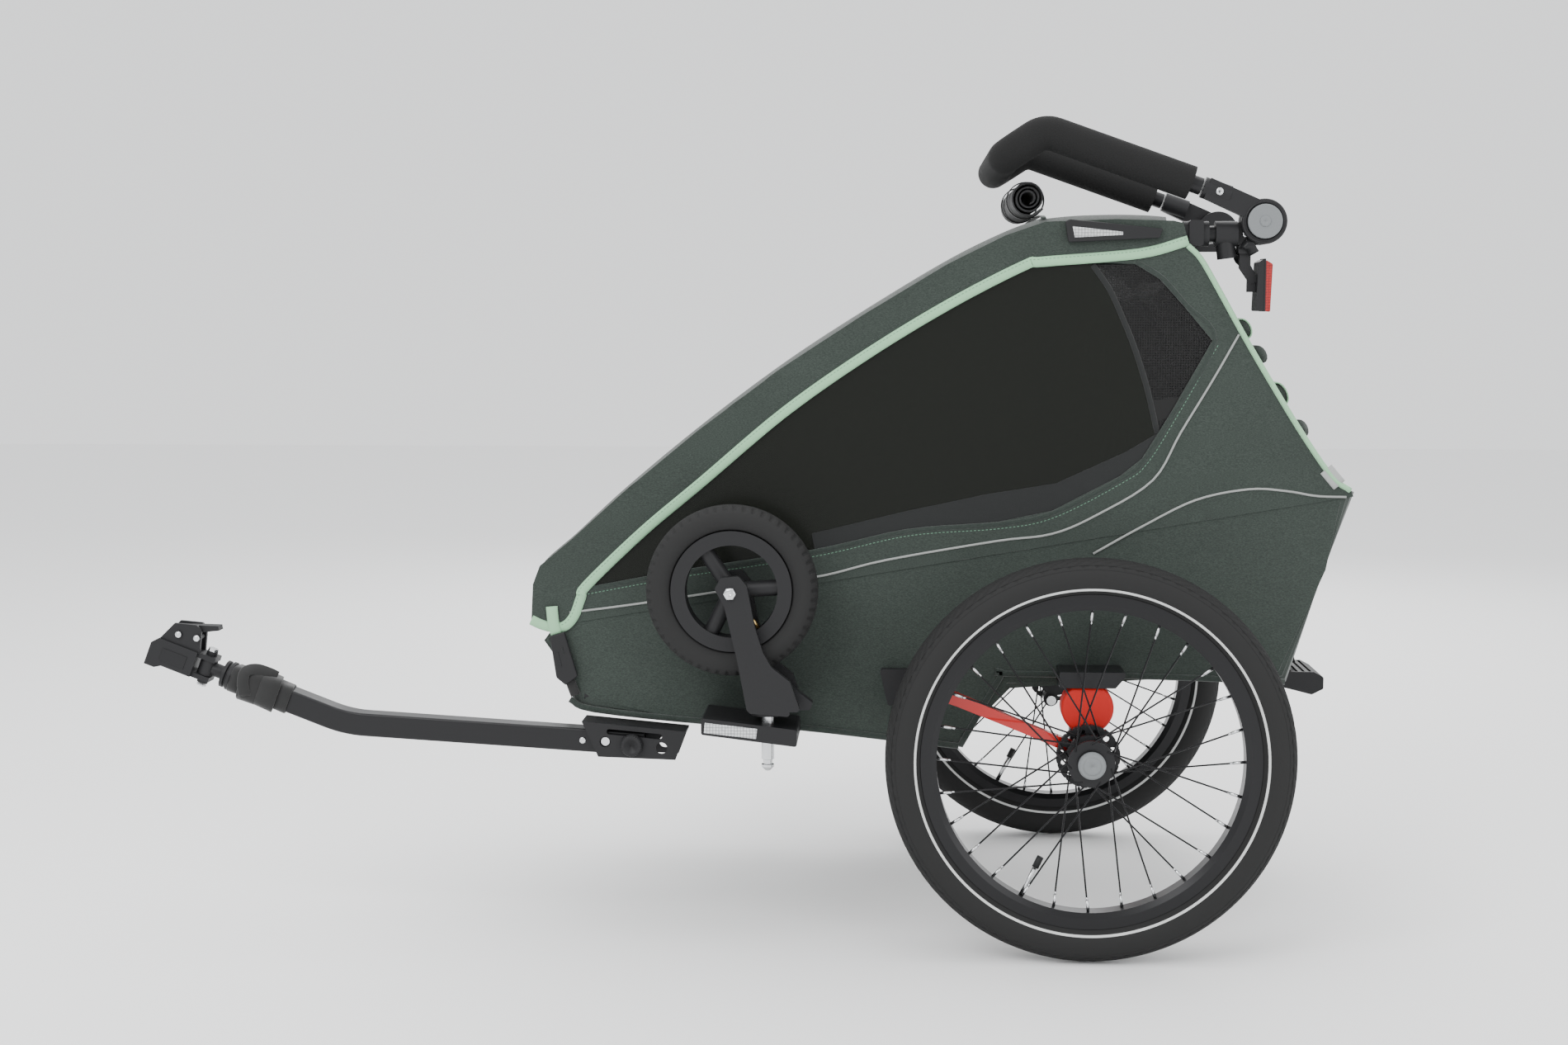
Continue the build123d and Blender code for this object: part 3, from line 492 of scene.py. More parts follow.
# ---------------------------------------------------------------- CAD pieces that stay, with their materials
dress("side_rails cross_tubes frame_pivot_brackets spring_brackets top_frame_tubes back_frame_tubes "
      "handle_tube", SATIN)
dress("drawbar_tube", SATIN, 1.5)
dress("drawbar_bracket corner_fittings arm_pivot_brackets wheel_holders", PLASTIC, 1.0)
dress("locking_sleeve_left locking_sleeve_right light_mount rear_light_housing handle_hinge_bases "
      "handle_hinge_heads hitch_body hitch_joint hitch_lever brake_pedal", PLASTIC, 0.8)
dress("axle_carrier_left axle_carrier_right hub_left hub_right", SATIN, 0.6)
dress("rim_left rim_right", RIM)
dress("spokes_left spokes_right", SPOKE)
dress("swing_arm_left swing_arm_right", RED_METAL, 1.5)
dress("brake_pawl_left brake_pawl_right stroller_pin drawbar_button", STEEL)
dress("hub_button_left hub_button_right handle_button_left handle_button_right", GREY)
dress("stroller_fork", PLASTIC, 2.0)
dress("rear_light_lens", RED_LENS, 1.0)

# ---------------------------------------------------------------- side-view lines, in mm from the axle
BELT = [(-690, 405), (338, 580)]
CREST = [(-713, 405.5), (-715.4, 422), (-709, 458), (-698, 484), (-657, 520), (-592, 580), (-494, 661),
         (-387, 741), (-281, 810), (-176, 873), (-103, 909), (-56, 926), (32, 929), (104, 926)]
EDGE = [(-713, 410), (-700, 404), (-687, 401), (-670, 402), (-657, 416), (-648, 440), (-640, 456), (-567, 526),
        (-492, 589), (-386, 679), (-281, 753), (-176, 817), (-83, 865), (-58, 870), (61, 880), (122, 896)]
WINDOW = [(-645, 452), (-609, 459), (-513, 477), (-346, 504), (-227, 531), (-111, 541), (-44, 555), (42, 600),
          (69, 622), (105, 681), (155, 771), (118, 815), (88, 848), (57, 867), (-20, 870), (-58, 867),
          (-83, 862), (-176, 814), (-281, 750), (-386, 676), (-492, 586), (-567, 523)]
LOWER = [(-662, 301), (-632, 289), (-492, 275), (-364, 268), (-156, 245), (-104, 342), (258, 335), (302, 482),
         (338, 580), (-690, 405), (-682, 388)]


def belt_z(x):
    """Height of the belt, where the hood meets the lower body."""
    return BELT[0][1] + (x - BELT[0][0]) * (BELT[1][1] - BELT[0][1]) / (BELT[1][0] - BELT[0][0])


def side_y(x, z, out=0.0, s=-1):
    """Where the side fabric is: it leans in a little towards the roof, and hollows between the tubes."""
    up = max(0.0, min(1.0, (z - belt_z(x)) / 330))
    dip = 3.0 * math.sin(math.pi * up) if z > belt_z(x) else 0
    return s * (221 - 9 * up - dip + out)


# ---------------------------------------------------------------- cover, roof and rear: one sheet each
def across_sheet(name, line, crown, mat, cols=26, roll=16.0):
    """A sheet over the trailer along a side-view line, crowned in the middle and rolled at its edges."""
    path = curve([(x, 0, z) for x, z in line], 6)
    verts = []
    for i, p in enumerate(path):
        a, b = path[max(i - 1, 0)], path[min(i + 1, len(path) - 1)]
        t = Vector((b[0] - a[0], b[2] - a[2])).normalized()
        nrm = (-t.y, t.x)
        for c in range(cols + 1):
            u = -1 + 2 * c / cols
            y = SHEET_HALF * u
            edge = max(0.0, (abs(y) - (SHEET_HALF - roll)) / roll)
            lift = crown * (1 - u * u) - roll * 0.5 * edge ** 2.2
            verts.append(at(p[0] + nrm[0] * lift, y, p[2] + nrm[1] * lift))
    o = build(name, verts, grid(len(path), cols + 1), mat)
    thicken(o, 1.6, -1)
    fan(o)
    return o


REAR = [(159, 841), (197, 774), (234, 712), (272, 650), (309, 598)]
cover = across_sheet("canopy_cover", CREST[:12], 2.0, GREEN)
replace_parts(cover, "canopy_fabric")
across_sheet("canopy_roof", [(-66, 923), (-20, 927.5), (32, 929), (72, 928), (96, 926)], 2.0, GREEN)
across_sheet("canopy_rear", [(142, 868), *REAR, (333, 581)], 0.5, GREEN_DARK)


# ---------------------------------------------------------------- lower body
def lower_body():
    """The lower fabric in one shell, open along the belt, with rounded side edges."""
    half, rounding, belt = 220.6, 16.0, 8          # belt: the index in LOWER where the belt starts
    bm = bmesh.new()
    a, b = [[bm.verts.new(at(x, y, z)) for x, z in LOWER] for y in (-half, half)]
    n = len(LOWER)
    bm.faces.new(a)
    bm.faces.new(list(reversed(b)))
    side_edges = list(bm.edges)
    for i in range(n):
        j = (i + 1) % n
        if i != belt:
            bm.faces.new((a[j], a[i], b[i], b[j]))
    belt_pts = {a[belt], a[belt + 1], b[belt], b[belt + 1]}
    picks = [e for e in side_edges if not (e.verts[0] in belt_pts and e.verts[1] in belt_pts)]
    bmesh.ops.bevel(bm, geom=picks, offset=rounding * MM, segments=4, profile=0.5, affect="EDGES")
    bmesh.ops.triangulate(bm, faces=bm.faces)
    me = bpy.data.meshes.new("lower_body")
    bm.to_mesh(me)
    bm.free()
    o = piece("lower_body", me, GREEN)
    thicken(o, 2.5, -1)
    soften(o, 0.8, 2, 50)
    o.modifiers.new("normals", "WEIGHTED_NORMAL")
    return o


tub = lower_body()
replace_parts(tub, "tub_fabric")
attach(tub, "chassis")

# ---------------------------------------------------------------- side panels, twice
SIDE_OUTLINE = [(-684, 402), (-662, 409), *EDGE[5:], (138, 877), *REAR, (331, 582), (334, 575.5)]
FLAP = [*EDGE, (116, 918), (104, 921), (32, 923), (-56, 920), (-106, 903), (-179, 867), (-284, 804), (-390, 735),
        (-497, 655), (-595, 574), (-661, 514), (-702, 480), (-711, 456)]
SEAM = [(88, 654), (74, 712), (57, 764), (39, 807), (25, 836), (4, 866)]     # from film to netting
FILM_OUT = [*WINDOW[:9], *SEAM, *WINDOW[14:]]
NET_OUT = [SEAM[0], *WINDOW[9:14], *reversed(SEAM[1:])]
DARK_BAND = [*WINDOW[3:9], (88, 654), (50, 631), (-39, 590), (-125, 576), (-227, 554), (-350, 524)]


def offset_line(line, d):
    """The line moved sideways by d, to its left."""
    out = []
    for i, p in enumerate(line):
        a, b = line[max(i - 1, 0)], line[min(i + 1, len(line) - 1)]
        t = Vector((b[0] - a[0], b[1] - a[1])).normalized()
        out.append((p[0] - t.y * d, p[1] + t.x * d))
    return out


def along(line, s, out):
    """A side-view line laid on the side fabric, out mm off it."""
    return [at(x, side_y(x, z, out, s), z) for x, _, z in curve([(x, 0, z) for x, z in line], 5)]


def tape(name, line, s, out, width, thick, mat, per=5, body=None):
    """Tape that lies on the side fabric along a side-view line."""
    mid = [(p[0], p[2]) for p in curve([(x, 0, z) for x, z in line], per)]
    e = min(thick, width / 4)
    verts, faces = [], []
    for d, h in ((-width / 2, -0.6), (-width / 2, 0.0), (-width / 2 + e, thick), (width / 2 - e, thick),
                 (width / 2, 0.0), (width / 2, -0.6)):
        verts += [at(x, side_y(x, z, out + h, s), z) for x, z in offset_line(mid, d)]
    n = len(mid)
    for q in range(6):
        r = (q + 1) % 6
        faces += [(q * n + i, q * n + i + 1, r * n + i + 1, r * n + i) for i in range(n - 1)]
    faces += [tuple(q * n for q in range(6)), tuple(q * n + n - 1 for q in range(6))]
    carry(build(name, verts, faces, mat), body)


def stitches(name, line, s, out, mat, length, pitch=5.0):
    """Small raised thread stitches along a line."""
    pts = curve([(x, 0, z) for x, z in line], 8)
    corners = ((-1, -1, 0), (1, -1, 0), (1, 1, 0), (-1, 1, 0),
               (-.6, -.4, 1), (.6, -.4, 1), (.6, .4, 1), (-.6, .4, 1))
    sides = ((4, 5, 6, 7), (0, 1, 5, 4), (1, 2, 6, 5), (2, 3, 7, 6), (3, 0, 4, 7))
    verts, faces = [], []
    acc = 0.0
    for a, b in zip(pts, pts[1:]):
        seg = math.hypot(b[0] - a[0], b[2] - a[2])
        while acc < seg:
            t = acc / seg
            x, z = a[0] + (b[0] - a[0]) * t, a[2] + (b[2] - a[2]) * t
            dx, dz = (b[0] - a[0]) / seg, (b[2] - a[2]) / seg
            y = side_y(x, z, out, s)
            base = len(verts)
            for u, v, w in corners:
                px = x + dx * u * length / 2 - dz * v * 0.5
                pz = z + dz * u * length / 2 + dx * v * 0.5
                verts.append(at(px, y + s * w * 0.5, pz))
            faces += [tuple(base + k for k in f) for f in sides]
            acc += pitch
        acc -= seg
    fan(build(name, verts, faces, mat, None, False))


PIPE_1 = [(-663, 420), (-588, 430), (-492, 445), (-406, 459), (-332, 471), (-254, 491), (-115, 516), (-43, 526),
          (16, 552), (83, 595), (117, 655), (156, 721), (188, 779)]
PIPE_2 = [(9, 501), (70, 536), (137, 570), (203, 584), (250, 582), (288, 576), (325, 575)]

HEM = [(-664, 306), (-633, 293), (-492, 279), (-364, 272), (-160, 250)]
ARCH = [(-158, 250), (-107, 341), (-100, 345), (90, 343), (254, 338)]
# name, outline, holes, mm off the side fabric, thickness, material, slot, cloth width and length, rests on
SHEETS = (("side_wall", SIDE_OUTLINE, (WINDOW,), 0, 1.2, GREEN, "green_fabric", (1.03, 0.27), "top_frame_tubes"),
          ("cover_side", FLAP, (), 1.0, 1.2, GREEN, "green_fabric", (1.05, 0.12), "top_frame_tubes"),
          ("window_film", FILM_OUT, (), -1.6, 0.5, FILM, "tinted_film", (0.75, 0.42), "side_wall_{}"),
          ("window_net", NET_OUT, (), -1.6, 0.6, NET, "green_fabric", (0.16, 0.22), "side_wall_{}"),
          ("film_band", DARK_BAND, (), -0.9, 0.8, BAND, "green_fabric", (0.46, 0.05), "window_film_{}"))

for s, tag in SIDES:
    for label, outline, holes, out, thick, mat, slot, flat, under in SHEETS:
        sheet = panel(f"{label}_{tag}", outline, lambda x, z: side_y(x, z, out, s), mat, holes, thick)
        if label == "window_film":
            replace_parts(sheet, "side_windows")
        fan(sheet)
    tape(f"film_seam_{tag}", SEAM, s, -1.0, 7, 0.8, BAND)
    tape(f"window_hem_{tag}", offset_line(WINDOW[:14], -3), s, 0.7, 6, 0.6, GREEN_DARK)
    stitches(f"window_thread_{tag}", offset_line(WINDOW[:11], -9), s, 0.5, MINT_DARK, 3.0)
    # mint binding along the cover's edge and down the rear
    tape(f"binding_top_{tag}", EDGE, s, 1.9, 13, 2.2, MINT, 6)
    stitches(f"binding_thread_{tag}", offset_line(EDGE[2:], 3.4), s, 3.9, MINT_DARK, 3.2)
    stitches(f"cover_thread_{tag}", offset_line(EDGE[3:], 11), s, 1.5, GREEN_DARK, 3.2)
    tape(f"binding_rear_{tag}", [(122, 890), (138, 874), (158, 841), (196, 774), (233, 712), (271, 651), (307, 600),
                                 (330, 583)], s, 0.8, 7, 2.5, MINT)
    for line, label in ((PIPE_1, "piping_front"), (PIPE_2, "piping_rear")):
        fan(sweep(f"{label}_{tag}", along(line, s, 0.9), oval(2.8, 2.8), (0, s, 0), PIPING))
    for line, label in ((HEM, "hem_front"), (ARCH, "hem_rear")):
        tape(f"{label}_{tag}", line, s, 0.6, 8, 1.6, GREEN_DARK, 4, "chassis")
    tape(f"rear_patch_{tag}", [(299, 610), (316, 590)], s, 1.2, 18, 1.4, TAPE, 4)

# seam tape over the roof where its reinforced rear part begins
seam = []
for k in range(31):
    u = (k - 15) / 15
    seam.append(at(-58, -204 + 408 * k / 30, 929 + 2 * (1 - u ** 2) - 5 * abs(u) ** 12))
fan(sweep("roof_seam", seam, strap_section(7, 1.2), (0, 0, 1), GREEN_DARK))
# binding across the nose, and the soft folds of the rear pocket with their loops
nose_line = [at(-713.5, -205 + 410 * k / 24, 410) for k in range(25)]
fan(sweep("binding_nose", nose_line, strap_section(12, 2.6), (-1, 0, 0), MINT))
for k, (x, z, w) in enumerate(((196, 786, 24), (216, 752, 24), (243, 704, 28), (272, 660, 24))):
    path = [at(x + 2.5 * math.sin(c * 0.9 + k), -196 + 392 * c / 26, z + 2 * math.sin(c * 0.55 + k))
            for c in range(27)]
    fan(sweep(f"rear_fold_{k}", path, oval(15, w, 14), (-0.5, 0, 0.86), GREEN))
    if k % 2:
        continue
    for s, tag in SIDES:
        loop = []
        for q in turn(24):
            u, v = (w / 2 + 1.4) * math.cos(q), 8.9 * math.sin(q)
            loop.append(at(x - 0.5 * u + 0.86 * v, s * 189, z + 0.86 * u + 0.5 * v))
        mid = at(x, s * 189, z)
        fan(sweep(f"rear_loop_{tag}_{k}", loop, strap_section(20, 1.8), lambda p, m=mid: p - m, MINT, closed=True))

# ---------------------------------------------------------------- 20 inch tyres
def tread(a, y, r):
    """Grooves between slanting blocks on the tyre's crown."""
    if r < 236:
        return 0.0
    pitch = 2 * math.pi / 92
    slant = 0.010 * abs(y) / 6
    phase = ((a + slant * (1 if y > 0 else -1) * 6) / pitch) % 1.0
    cut = 0.0
    if 4.5 < abs(y) < 19 and phase < 0.24:
        cut = -1.6
    if 2.2 < abs(y) < 4.2:
        cut = -1.5
    return cut


def big_tyre(tag, s):
    """Tyre with its reflective stripe on both sides and two moulded beads."""
    wheel, centre = f"wheel_{tag}", (0, s * TRACK_HALF, WHEEL_Z)
    arc = []
    for k in range(49):
        t = math.radians(-128 + 256 * k / 48)
        arc.append((TYRE_R * math.sin(t), TYRE_MID + 24.9 * math.cos(t)))
    inner = [(x * 0.62, TYRE_MID + (r - TYRE_MID) * 0.62) for x, r in reversed(arc[2:-2])]
    prof = [(-14.6, 211)] + [p for p in arc if p[1] > 212] + [(14.6, 211), (12.6, 208)] + \
           [p for p in inner if p[1] > 216][::6] + [(-12.6, 208)]
    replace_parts(lathe(f"tyre_tread_{tag}", prof, centre, TYRE, wheel, 736, tread), f"tyre_{tag}")
    for side, label in ((-1, "outer"), (1, "inner")):
        strip = []
        for r, steps in ((25.25, range(7)), (24.7, range(6, -1, -1))):
            for k in steps:
                t = math.radians(115.5 + 7.5 * k / 6)
                strip.append((side * r * math.sin(t), TYRE_MID + r * math.cos(t)))
        lathe(f"reflex_stripe_{label}_{tag}", strip, centre, STRIPE, wheel, 200)
    for k in range(2):
        rr = 246.6 - 5 * k
        yy = math.sqrt(25.15 ** 2 - (rr - TYRE_MID) ** 2)
        bead = [(s * (yy + 0.15 * math.cos(q)), rr + 0.5 * math.sin(q)) for q in turn(6)]
        lathe(f"tyre_bead_{tag}_{k}", bead, centre, TYRE, wheel, 200)


def nipples(tag, s):
    """Spoke nipples, leaning along their spokes."""
    verts, faces = [], []
    for i in range(RIM_SPOKES):
        a = 2 * math.pi * i / RIM_SPOKES
        out = 1 if i % 2 else -1
        lean = 1 if (i // 2) % 2 else -1
        for r0, r1, rad in ((176, 190.5, 1.9), (172, 176, 1.5)):
            base = len(verts)
            for r in (r0, r1):
                f = (r - 25) / 165.0
                for q in range(8):
                    b = 2 * math.pi * q / 8
                    tan = rad * math.cos(b) + lean * (190 - r) * 0.105
                    y = s * TRACK_HALF + rad * math.sin(b) + s * out * (17 - 14 * f)
                    verts.append(at(r * math.cos(a) - tan * math.sin(a), y,
                                    WHEEL_Z + r * math.sin(a) + tan * math.cos(a)))
            for q in range(8):
                w = (q + 1) % 8
                faces.append((base + q, base + w, base + 8 + w, base + 8 + q))
            faces.append(tuple(base + q for q in range(8)))
            faces.append(tuple(base + 8 + q for q in range(8)))
    build(f"nipples_{tag}", verts, faces, STEEL, f"wheel_{tag}", True)


def valve(tag, centre, r0, r1, angle, mat, body, rad=3.0):
    """A valve and its cap, from radius r0 to r1 of the wheel."""
    a = math.radians(angle)
    d = Vector((math.cos(a), 0, math.sin(a)))
    p = [at(centre[0] + d.x * r, centre[1], centre[2] + d.z * r) for r in (r0, (r0 + r1) / 2, r1)]
    sweep(f"valve_{tag}", p, oval(rad * 2, rad * 2, 12), (0, 1, 0), mat, body)
    cap = [at(centre[0] + d.x * r, centre[1], centre[2] + d.z * r) for r in (r1 - 1, r1 - 8, r1 - 16)]
    sweep(f"valve_cap_{tag}", cap, oval(rad * 2.9, rad * 2.9, 12), (0, 1, 0), PLASTIC, body)


for s, tag in SIDES:
    big_tyre(tag, s)
    nipples(tag, s)
    valve(tag, (0, s * TRACK_HALF, WHEEL_Z), 191, 152, 244, STEEL, f"wheel_{tag}")
    # raised ring on the hub's button
    face = [(s * 34.8, 0.2), (s * 34.6, 9.0), (s * 34.1, 11.0), (s * 33.6, 11.2), (s * 33.6, 10.0),
            (s * 34.0, 0.2)]
    lathe(f"button_face_{tag}", face, (0, s * TRACK_HALF, WHEEL_Z), GREY, f"hub_button_{tag}", 48)
    # rubber block, a copy of the spring with softened edges, fixed on the chassis
    spring = NODES[f"rubber_spring_{tag}"]
    block = piece(f"rubber_block_{tag}", spring.data.copy(), RED_RUBBER)
    block.matrix_world = spring.matrix_world.copy()
    soften(block, 1.5)
    apply_mods(block)
    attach(block, "chassis")
    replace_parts(block, f"rubber_spring_{tag}")
    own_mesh(block)


# ---------------------------------------------------------------- stroller wheel
def block_tread(a, y, r):
    """Blocks beside a pair of grooves on the small tyre."""
    if r < 101:
        return 0.0
    pitch = 2 * math.pi / 54
    phase = ((a + 0.02 * (y > 0)) / pitch) % 1.0
    if phase < 0.3 and abs(y) > 2.5:
        return -2.2
    return -1.6 if 1.2 < abs(y) < 2.5 else 0.0


arc = []
for k in range(37):
    t = math.radians(-140 + 280 * k / 36)
    arc.append((17.9 * math.sin(t), 90.5 + 17.9 * math.cos(t)))
prof = [(-9.5, 76.4)] + [p for p in arc if p[1] > 77] + [(9.5, 76.4)]
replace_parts(lathe("stroller_tread", prof, STROLLER_HUB, TYRE, "stroller_wheel", 432, block_tread),
            "stroller_tyre")
dress("stroller_rim", PLASTIC, 1.2)
lathe("stroller_axle_nut", [(-39, 0.2), (-39, 6), (-37.5, 8.5), (-35.2, 8.5), (-35.2, 0.2)], STROLLER_HUB, STEEL,
      "stroller_fork", 6)
hub_x, hub_y, hub_z = STROLLER_HUB
valve("stroller", (hub_x, hub_y - 6, hub_z), 58, 34, 306, BRASS, "stroller_wheel", 2.6)



# ---------------------------------------------------------------- cushions
def pillow(name, node_name, body, channels):
    """Padded piece grown by cloth simulation from its CAD solid. A channel is (axis, place, depth, width)."""
    inset, farthest = 0.0035, 7.0        # the start inside the solid, in metres, and the cap on a move, in mm
    o = piece(name, NODES[node_name].data.copy(), SEAT)
    r = o.modifiers.new("remesh", "REMESH")
    r.mode, r.voxel_size = "VOXEL", 0.006
    apply_mods(o)
    co = np.array([v.co[:] for v in o.data.vertices])
    nr = np.array([v.normal[:] for v in o.data.vertices])
    for v, c, n in zip(o.data.vertices, co, nr):
        v.co = c - n * inset
    start = np.array([v.co[:] for v in o.data.vertices])
    c = o.modifiers.new("cloth", "CLOTH")
    c.settings.use_pressure = True
    c.settings.uniform_pressure_force = 4.0
    c.settings.effector_weights.gravity = 0.0
    c.settings.quality = 4
    c.point_cache.frame_start, c.point_cache.frame_end = 1, 20
    for f in range(1, 21):
        bpy.context.scene.frame_set(f)
    apply_mods(o)
    bpy.context.scene.frame_set(1)
    end = np.array([v.co[:] for v in o.data.vertices])
    move = end - start
    far = np.linalg.norm(move, axis=1, keepdims=True)
    move *= np.minimum(1.0, farthest * MM / np.maximum(far, 1e-9))
    final = start + move
    for axis, place, depth, width in channels:
        d = np.abs(final[:, axis] - place)
        normals = np.array([v.normal[:] for v in o.data.vertices])
        final -= normals * (depth * MM * np.exp(-(d / (width * MM)) ** 2))[:, None]
    for v, c in zip(o.data.vertices, final):
        v.co = c
    sub = o.modifiers.new("smooth", "SUBSURF")
    sub.levels = sub.render_levels = 1
    apply_mods(o)
    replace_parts(o, node_name)
    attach(o, body)


pillow("seat_pad", "seat_cushion", "chassis", [(0, AXLE - 0.09, 5, 6), (1, 0.09, 3, 5), (1, -0.09, 3, 5)])
pillow("back_pad", "backrest_cushion", "back_frame",
       [(2, 0.56, 5, 6), (2, 0.66, 5, 6), (1, 0.085, 3, 5), (1, -0.085, 3, 5)])
dress("lap_harness shoulder_straps", WEB, 0.8)


# ---------------------------------------------------------------- small solid helper
def prism(name, outline, y0, y1, mat, body, edge):
    """A side-view outline between two widths, with softened edges."""
    n = len(outline)
    verts = [at(x, y0, z) for x, z in outline] + [at(x, y1, z) for x, z in outline]
    faces = [tuple(range(n)), tuple(range(n, 2 * n))]
    faces += [(i, (i + 1) % n, n + (i + 1) % n, n + i) for i in range(n)]
    o = build(name, verts, faces, mat, body, False)
    soften(o, edge)
    return o


def rect(cx, cz, w, h, tilt):
    """A side-view rectangle w by h about its centre, tilted in degrees."""
    c, s = math.cos(math.radians(tilt)), math.sin(math.radians(tilt))
    return [(cx + u * c - v * s, cz + u * s + v * c) for u, v in
            ((-w / 2, -h / 2), (w / 2, -h / 2), (w / 2, h / 2), (-w / 2, h / 2))]


# ---------------------------------------------------------------- nose straps and buckles
for s, tag in SIDES:
    y = s * BUCKLE_Y
    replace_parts(prism(f"buckle_body_{tag}", [(-688, 390), (-669, 396), (-652, 338), (-668, 326), (-680, 336)],
                      y + s * 0.6, y + s * 6.5, PLASTIC, "chassis", 1.6), "fabric_buckles")
    # painted shade: the slot is a thin darker strip laid on the buckle's face, not an opening
    prism(f"buckle_slot_{tag}", rect(-671, 372, 10, 2.6, -74), y + s * 6.3, y + s * 7.0, BAND, "chassis", 0.3)
    prism(f"buckle_ridge_{tag}", rect(-676, 360, 3, 20, 14), y + s * 6.3, y + s * 7.2, PLASTIC, "chassis", 0.5)
    tape(f"nose_strap_{tag}", [(-686, 428), (-684, 408), (-680, 392)], s, 4.5, 15, 1.8, MINT, 4)
    tape(f"nose_strap_low_{tag}", [(-664, 334), (-656, 312)], s, 3.6, 13, 1.8, WEB, 4, "chassis")

# front and rear face buckles with their webbing
for x, z, tilt, label, sgn in ((-684, 340, -12, "front", -1), (290, 383, 16, "rear", 1)):
    prism(f"face_buckle_{label}", rect(x, z, 6, 38, tilt), -20, 20, PLASTIC, "chassis", 1.8)
    lean = 36 * math.sin(math.radians(-tilt))
    pts = [at(x + sgn * 1.5 + lean * t, 0, z + 40 * t) for t in (-1.4, -0.9, -0.4)]
    sweep(f"face_web_{label}", pts, strap_section(25, 1.8), (sgn, 0, 0), WEB, "chassis")

# ---------------------------------------------------------------- roof reflectors
for s, tag in SIDES:
    y0, y1 = s * 215.6, s * 221.5
    o = prism(f"reflector_shell_{tag}", [(-32, 920), (-28, 894), (86, 899), (90, 911), (-27, 923)], y0, y1, PLASTIC,
              "top_frame", 1.8)
    if s < 0:
        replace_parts(o, "roof_reflectors")
    prism(f"reflector_face_{tag}", [(-23, 914), (-20, 900), (40, 903), (40, 907)], y1 - s * 0.2, y1 + s * 0.5,
          WHITE_LENS, "top_frame", 0.4)
prism("holder_reflector", rect(-447, 286.5, 66, 13, -6), -317.8, -319.0, WHITE_LENS, "chassis", 0.5)

# ---------------------------------------------------------------- rolled cover on the roof
ROLL_X, ROLL_Z, ROLL_HALF = -74, 952.5, 148
TURNS, STEPS, ACROSS = 3.1, 22, 30           # turns of the roll, points in a turn, and cells across it
spiral = []
for k in range(int(TURNS * STEPS) + 1):
    t = 2 * math.pi * k / STEPS
    r = 7 + 15.5 * t / (2 * math.pi * TURNS)
    spiral.append((ROLL_X + r * math.cos(t - 1.2), ROLL_Z + r * math.sin(t - 1.2)))
verts = []
for i, (x, z) in enumerate(spiral):
    for c in range(ACROSS + 1):
        sag = 0.8 * math.sin(c * 1.7 + i * 0.13) + 0.5 * math.sin(c * 0.6 + i * 0.5)
        k = 1 + sag / 30
        verts.append(at(ROLL_X + (x - ROLL_X) * k, -ROLL_HALF + 2 * ROLL_HALF * c / ACROSS,
                        ROLL_Z + (z - ROLL_Z) * k))
roll = build("cover_roll", verts, grid(len(spiral), ACROSS + 1), ROLL, None, True)
thicken(roll, 1.9, 0)
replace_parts(roll, "rolled_cover")
flat = sum(math.dist(a, b) for a, b in zip(spiral, spiral[1:])) * MM
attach(roll, "top_frame")
middle = at(ROLL_X, 0, ROLL_Z)
for y, tag in ((-70, "l"), (70, "r")):
    ring = [at(ROLL_X + 24.6 * math.cos(q), y, ROLL_Z + 24.0 * math.sin(q)) for q in turn(28)]
    sweep(f"roll_loop_{tag}", ring, strap_section(16, 1.4),
          lambda p: Vector((p.x - middle.x, 0, p.z - middle.z)), WEB, "top_frame", True)

# ---------------------------------------------------------------- handle details
dress("handle_grip", FOAM)
for s, tag in SIDES:
    face = [(s * 18.6, 0.2), (s * 18.6, 6), (s * 18.0, 7.0), (s * 17.4, 7.0), (s * 17.4, 0.2)]
    lathe(f"handle_button_boss_{tag}", face, (HANDLE_X, s * HANDLE_Y, HANDLE_Z), GREY, f"handle_button_{tag}", 48)
    for label, (x, z), body, yy in (("arm", (160, 957), "handle", 213.2),
                                    ("base", (196, 905), "top_frame", 198.2)):
        head = [(s * yy, 0.2), (s * yy, 5.0), (s * (yy + 1.6), 5.0), (s * (yy + 2.6), 3.6),
                (s * (yy + 2.6), 2.2), (s * (yy + 1.4), 1.9), (s * (yy + 1.4), 0.2)]
        lathe(f"screw_{label}_{tag}", head, (x, 0, z), STEEL, body, 24)
    ring = [(212, 22.3), (212.8, 22.8), (212.8, 24.5), (212, 25.2), (211, 25.2), (211, 22.3)]
    lathe(f"handle_housing_ring_{tag}", [(s * a, b) for a, b in ring], (HANDLE_X, 0, HANDLE_Z), SATIN, "handle",
          64)

# ---------------------------------------------------------------- drawbar, hitch and strap details
def nose_xz(u, v):
    """u mm along the drawbar's front end from its tip, and v mm off it, in the side view."""
    x, z = BAR_TIP
    c, sn = math.cos(BAR_RISE), math.sin(BAR_RISE)
    return (x - u * c + v * sn, z + u * sn + v * c)


def nose(u, v, y=BAR_Y):
    """The same as a point in space."""
    x, z = nose_xz(u, v)
    return at(x, y, z)


AHEAD = Vector((-math.cos(BAR_RISE), 0, math.sin(BAR_RISE)))

# ribs of the rubber bellows
for k in range(6):
    ring = [nose(6 + 7.2 * k, 14.6 * math.sin(q), BAR_Y + 14.6 * math.cos(q)) for q in turn(40)]
    sweep(f"bellows_rib_{k}", ring, oval(4.2, 4.2, 8), AHEAD, SATIN, "drawbar", True)
